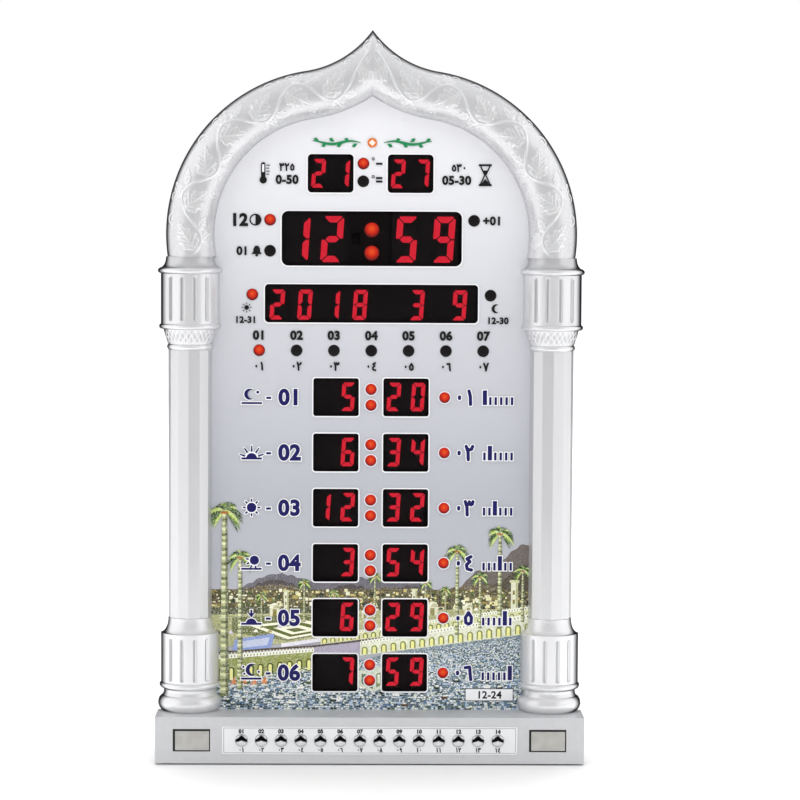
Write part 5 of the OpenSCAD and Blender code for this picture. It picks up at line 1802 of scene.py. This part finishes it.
def draw_water(sheet):
    """The river: short glints over a blue-grey ground, finer and paler with distance."""
    river = [(-99, ART_FOOT), (99, ART_FOOT), (99, 77), (60, 71), (10, 62), (-34, 52), (-99, 44)]
    sheet.grit = 0.6
    sheet.patch(river, ink("7C92A2"), 38)
    pale = inks("FFFFFF E4EDF4 FFFFFF F4F8F0 CFDCE6 BCD4F0 F6FAE4")
    deep = inks("3E5672 20342E 4A74A8 1E3038 5C7C90 3E5C3A")
    sheet.grit = 0.1
    z = ART_FOOT
    while z < 74:
        near = max(0.5, 1.25 - 0.018 * (z - ART_FOOT))
        x = -98.6 + random.uniform(0, 1)
        while x < 98:
            w = random.uniform(0.5, 2.1) * near
            h = random.uniform(0.45, 1.0) * near
            shore_z = 45 + (x + 99) * 0.15
            if z + 1 < shore_z:
                tone = random.choice(pale if random.random() < 0.56 else deep)
                glint = [(x, z), (x + w, z + 0.1), (x + w * 0.8, z + h), (x + w * 0.1, z + h)]
                sheet.patch(glint, tone, 41)
            x += w + random.uniform(0.0, 0.35)
        z += 1.02 * near
    for k in range(30):
        x, z = -94 + 6.4 * k + random.uniform(-1.2, 1.2), random.uniform(ART_FOOT + 2, 46)
        w = random.uniform(1.6, 2.8)
        tone = random.choice(inks("3C4C1C FFFFF0 5A3B1C 1C3028 F4F4F4"))
        hull = [(x - w, z + 0.7), (x + w, z + 0.9), (x + w * 0.6, z - 0.6), (x - w * 0.6, z - 0.6)]
        sheet.patch(hull, tone, 42)
        sheet.box(x - w * 0.3, z + 0.9, x + w * 0.4, z + 1.8, ink("F3F1E2"), 42)


def small_boats(sheet, layer):
    """Orange sails near the left bank."""
    for k in range(4):
        x, z = -83 + 6.2 * k, 43.4 + 0.5 * (k % 2)
        sheet.patch([(x - 1.9, z), (x + 2.1, z), (x + 0.5, z + 4.3)], ink("E8883C"), layer)
        hull = [(x - 2.3, z - 0.5), (x + 2.4, z - 0.5), (x + 1.5, z - 1.5), (x - 1.5, z - 1.5)]
        sheet.patch(hull, ink("F4EDE2"), layer)


def palm(sheet, x, foot, top, crown, trunk, layer):
    """A date palm: a tapering ringed trunk under a crown of drooping fronds."""
    height = top - foot
    rings = int(height / (trunk * 0.95)) + 1
    sheet.grit = 0.35
    for k in range(rings):
        t = k / rings
        w = trunk * (1.25 - 0.55 * t)
        z = foot + height * t
        tone = mixed(ink("5A6A1C"), ink("F8FAC4"), 0.1 + 0.85 * ((k * 7) % 5) / 4)
        upper_z, upper_w = z + height / rings, w * 1.25
        ring = [(x - w, z), (x + w, z), (x + upper_w, upper_z), (x - upper_w, upper_z)]
        shaded = [(x + w * 0.3, z), (x + w, z), (x + upper_w, upper_z), (x + w * 0.3, upper_z)]
        sheet.patch(ring, tone, layer)
        sheet.patch(shaded, mixed(tone, ink("36420F"), 0.7), layer + 1)
    tones = inks("3C5E1C 7C9E36 D2E482 527028 22400F")
    for k in range(23):
        a = math.radians(-42 + 264 * k / 22)
        reach = crown * random.uniform(0.8, 1.12)
        route = [(x + reach * t * math.cos(a), top + reach * (t * math.sin(a) - 0.62 * t * t))
                 for t in (0, 0.17, 0.34, 0.5, 0.67, 0.84, 1)]
        thick = crown / 9
        widths = [thick * w for w in (0.4, 1.2, 1.6, 1.5, 1.2, 0.7, 0.1)]
        tone, at = tones[k % 5], layer + 2 + k % 3
        sheet.stroke(route, widths, tone, at)
        for (px, pz), w in zip(route[2:-1], widths[2:]):
            sheet.patch([(px - w * 0.2, pz), (px + w * 0.2, pz), (px, pz - w * 1.5)], tone, at)
    for dx in (-1.2, 0, 1.2):
        sheet.disc(x + dx * crown / 9, top - crown * 0.14, crown * 0.09, ink("B8782C"), layer + 5, count=10)


def square_tower(sheet, x, foot, top, half, layer):
    """A plain square lookout tower with a flat cap and lit openings."""
    sheet.grit = 0.25
    sheet.box(x - half, foot, x + half, top, ink("EDEED2"), layer)
    sheet.box(x + half * 0.35, foot, x + half, top, ink("B9BB86"), layer + 1)
    sheet.box(x - half * 1.3, top, x + half * 1.3, top + half * 0.8, ink("D9DAA8"), layer + 1)
    z = foot + half * 1.5
    while z < top - half:
        sheet.box(x - half * 0.5, z, x + half * 0.1, z + half * 1.2, ink("8C7E2E"), layer + 2)
        z += half * 2.6


# Place across, foot, top, reach of the crown and half width of the trunk
PALMS = (
    (-88.5, 36, 150, 11, 1.9), (-79, 40, 122, 8, 1.3), (53, 74, 126, 7.5, 0.95),
    (79, 78, 137, 8.5, 1.1), (67, 78, 110, 5.5, 0.75), (-40, 82, 106, 4.5, 0.55),
    (3, 84, 110, 4.5, 0.55), (93, 82, 114, 6, 0.75), (-66, 78, 98, 4, 0.5),
    (34, 84, 106, 4, 0.5), (-22, 84, 100, 3.5, 0.45), (46, 84, 102, 3.5, 0.45),
)


def lower_picture():
    """The river town, from the hills at the back to the palms in front."""
    sheet = PrintSheet("river_town_print", PLANE_Y, art_tiles())
    draw_hills(sheet)
    draw_town(sheet)
    draw_quay(sheet)
    draw_water(sheet)
    water_gate(sheet, 43)
    square_tower(sheet, 88, 84, 106, 2.2, 33)
    square_tower(sheet, 27, 86, 101, 1.5, 33)
    square_tower(sheet, -51, 86, 100, 1.5, 33)
    for place in PALMS:
        palm(sheet, *place, 44)
    small_boats(sheet, 43)
    sheet.build("printed_panel")


def panel_signs():
    """All signs, figures and borders on the panel."""
    sheet = PrintSheet("panel_signs", PLANE_Y - SIGN_LIFT)
    window_borders(sheet, 0)
    lamp_borders(sheet, 0)
    crest(sheet, 0)
    upper_signs(sheet, 0)
    day_numbers(sheet, 0)
    row_labels(sheet, 1)
    small_label(sheet, 1)
    sheet.build("printed_panel")


def strip_signs():
    """What is printed on the button strip."""
    sheet = PrintSheet("strip_signs", PLINTH_FRONT_Y)
    strip_print(sheet)
    sheet.build("label_white")


random.seed(7)
lower_picture()
panel_signs()
strip_signs()


# ---------- panel, frame, cover and what they hold ----------

dress("front_panel", PRINT, "printed_panel", 0.12, 1)
dress("panel_frame", FRAME_GREY, "case_grey", 0.4)
dress("back_cover", CASE_GREY, "case_grey", 0.5)

INNER_FINISHES = (
    ("display_board", BOARD, "board_green", 0.1), ("button_board", BOARD, "board_green", 0.1),
    ("controller_chip", BLACK, "speaker_black", 0.15), ("ir_receiver", BLACK, "speaker_black", 0.15),
    ("cell_holder", IVORY, "holder_ivory", 0.2), ("coin_cell", STEEL, "cell_steel", 0.25),
    ("tact_switches", BLACK, "speaker_black", 0.15), ("ribbon_cable", RIBBON, "ribbon_grey", 0.1),
    ("speaker", BLACK, "speaker_black", 0.3), ("speaker_wires", WIRE, "wire_cover", 0),
    ("dc_jack", BLACK, "speaker_black", 0.25), ("power_wires", WIRE, "wire_cover", 0),
    ("moulding_screws", SCREW, "screw_steel", 0.2), ("cover_screws", SCREW, "screw_steel", 0.2),
    ("board_screws", SCREW, "screw_steel", 0.2),
)
for node, material, slot, rounding in INNER_FINISHES:
    dress(node, material, slot, rounding)


# ---------- stage, lights and camera ----------

AMBIENT = 0.64                      # strength of the world on the surfaces; seen and mirrored it is 1
STAGE_R = 2.6
FLOOR_Z = -0.9
FLOOR_HALF = 30 * METRE
FAR_LIFT = 0.6                      # glow that the camera sees on the floor, far from the object
CARD_STEPS = 24
LIGHTS_AIM = (0, 0, 0.22)
CAMERA_PLACE = (-12.8, -1661.1, 327.3)
CAMERA_TARGET = (17.5, 0.0, 217.5)
CAMERA_LENS = 123.84
CAMERA_ROLL = 0.32                  # degrees


def white_world():
    """White behind the object and in its reflections; a plain soft level on its surfaces."""
    world = bpy.data.worlds.new("studio")
    bpy.context.scene.world = world
    world.use_nodes = True
    nodes, links = world.node_tree.nodes, world.node_tree.links
    back = nodes["Background"]
    back.inputs["Color"].default_value = (1, 1, 1, 1)
    ray = nodes.new("ShaderNodeLightPath").outputs
    seen = joined(nodes, links, "MAXIMUM", ray["Is Camera Ray"], ray["Is Glossy Ray"])
    seen = joined(nodes, links, "MAXIMUM", seen, ray["Is Transmission Ray"])
    links.new(spread(nodes, links, seen, AMBIENT, 1.0, 0.0, 1.0), back.inputs["Strength"])


def pale_floor():
    """A pale floor that keeps the object's shadow and runs into the white behind it."""
    material, nodes, links, shader, where = new_material("floor")
    shader.inputs["Base Color"].default_value = (0.80, 0.80, 0.80, 1)
    shader.inputs["Roughness"].default_value = 1.0
    shader.inputs["Specular IOR Level"].default_value = 0.0
    shader.inputs["Emission Color"].default_value = (1, 1, 1, 1)
    distance = nodes.new("ShaderNodeVectorMath")
    distance.operation = "LENGTH"
    links.new(where, distance.inputs[0])
    lift = spread(nodes, links, distance.outputs["Value"], 0.0, FAR_LIFT, 0.3, 1.2)
    camera_ray = nodes.new("ShaderNodeLightPath").outputs["Is Camera Ray"]
    links.new(product(nodes, links, camera_ray, lift), shader.inputs["Emission Strength"])
    edges = ((-1, -1), (1, -1), (1, 1), (-1, 1))
    points = [(sx * FLOOR_HALF, sy * FLOOR_HALF, FLOOR_Z) for sx, sy in edges]
    make_object("floor", points, [(0, 1, 2, 3)], material)


def hang_card(name, rows, strength):
    """A card of even brightness that only reflections see, from rows of points."""
    material = new_material(name)[0]
    shader = material.node_tree.nodes["Principled BSDF"]
    shader.inputs["Base Color"].default_value = (0, 0, 0, 1)
    shader.inputs["Specular IOR Level"].default_value = 0.0
    shader.inputs["Emission Color"].default_value = (1, 1, 1, 1)
    shader.inputs["Emission Strength"].default_value = strength
    points, faces = swept_grid(rows)
    card = make_object(name, points, faces, material)
    card.visible_camera = False
    card.visible_diffuse = False
    card.visible_shadow = False
    card.visible_transmission = False


def round_card(name, start, end, low, high, strength):
    """An upright curved card. Angles are degrees round the object, 0 in front; heights are in metres."""
    angles = [math.radians(start + (end - start) * i / CARD_STEPS) for i in range(CARD_STEPS + 1)]
    edge = [(METRE * STAGE_R * math.sin(a), -METRE * STAGE_R * math.cos(a)) for a in angles]
    hang_card(name, [[(x, y, METRE * h) for x, y in edge] for h in (low, high)], strength)


def flat_card(name, half_w, lower, upper, strength):
    """A flat card with level edges at two (y, z) places."""
    hang_card(name, [[(s * half_w, y, z) for s in (-1, 1)] for y, z in (lower, upper)], strength)


def softbox(name, azimuth, elevation, distance, size, watts):
    """A square area light that faces the middle of the clock; angles are degrees, lengths are metres."""
    light = bpy.data.lights.new(name, "AREA")
    light.shape = "SQUARE"
    light.size = size
    light.energy = watts
    lamp = put_in_scene(name, light)
    a, e = math.radians(azimuth), math.radians(elevation)
    target = Vector(LIGHTS_AIM)
    direction = Vector((math.sin(a) * math.cos(e), -math.cos(a) * math.cos(e), math.sin(e)))
    lamp.location = target + distance * direction
    lamp.rotation_euler = (target - lamp.location).to_track_quat("-Z", "Y").to_euler()
    lamp.visible_glossy = False


def set_camera():
    """Camera at the height and angle from which the clock is shown, turned slightly about its own axis."""
    camera = bpy.data.cameras.new("camera")
    camera.sensor_width = 36
    camera.lens = CAMERA_LENS
    holder = put_in_scene("camera", camera)
    place, target = Vector(CAMERA_PLACE) * MM, Vector(CAMERA_TARGET) * MM
    forward = (target - place).normalized()
    right = forward.cross(Vector((0, 0, 1))).normalized()
    up = right.cross(forward)
    roll = math.radians(CAMERA_ROLL)
    tilted_right = right * math.cos(roll) + up * math.sin(roll)
    tilted_up = up * math.cos(roll) - right * math.sin(roll)
    turn = Matrix((tilted_right, tilted_up, -forward)).transposed().to_4x4()
    holder.matrix_world = Matrix.Translation(place) @ turn
    bpy.context.scene.camera = holder


white_world()
pale_floor()
softbox("left_softbox", azimuth=-72, elevation=22, distance=2.2, size=2.2, watts=17)
softbox("right_softbox", azimuth=72, elevation=22, distance=2.2, size=2.2, watts=15)
softbox("top_softbox", azimuth=0, elevation=62, distance=2.4, size=1.6, watts=15)
softbox("rear_softbox", azimuth=180, elevation=76, distance=2.4, size=1.0, watts=46)
round_card("outer_card", start=-62, end=62, low=-0.6, high=1.3, strength=0.94)
flat_card("near_card", half_w=400, lower=(-500, 1), upper=(-500, 1200), strength=0.44)
flat_card("ceiling_card", half_w=1100, lower=(-1500, 1500), upper=(500, 1500), strength=0.50)
round_card("rear_dark_card", start=130, end=230, low=-0.5, high=2.2, strength=0.01)
set_camera()
bpy.context.scene.view_settings.view_transform = "Standard"
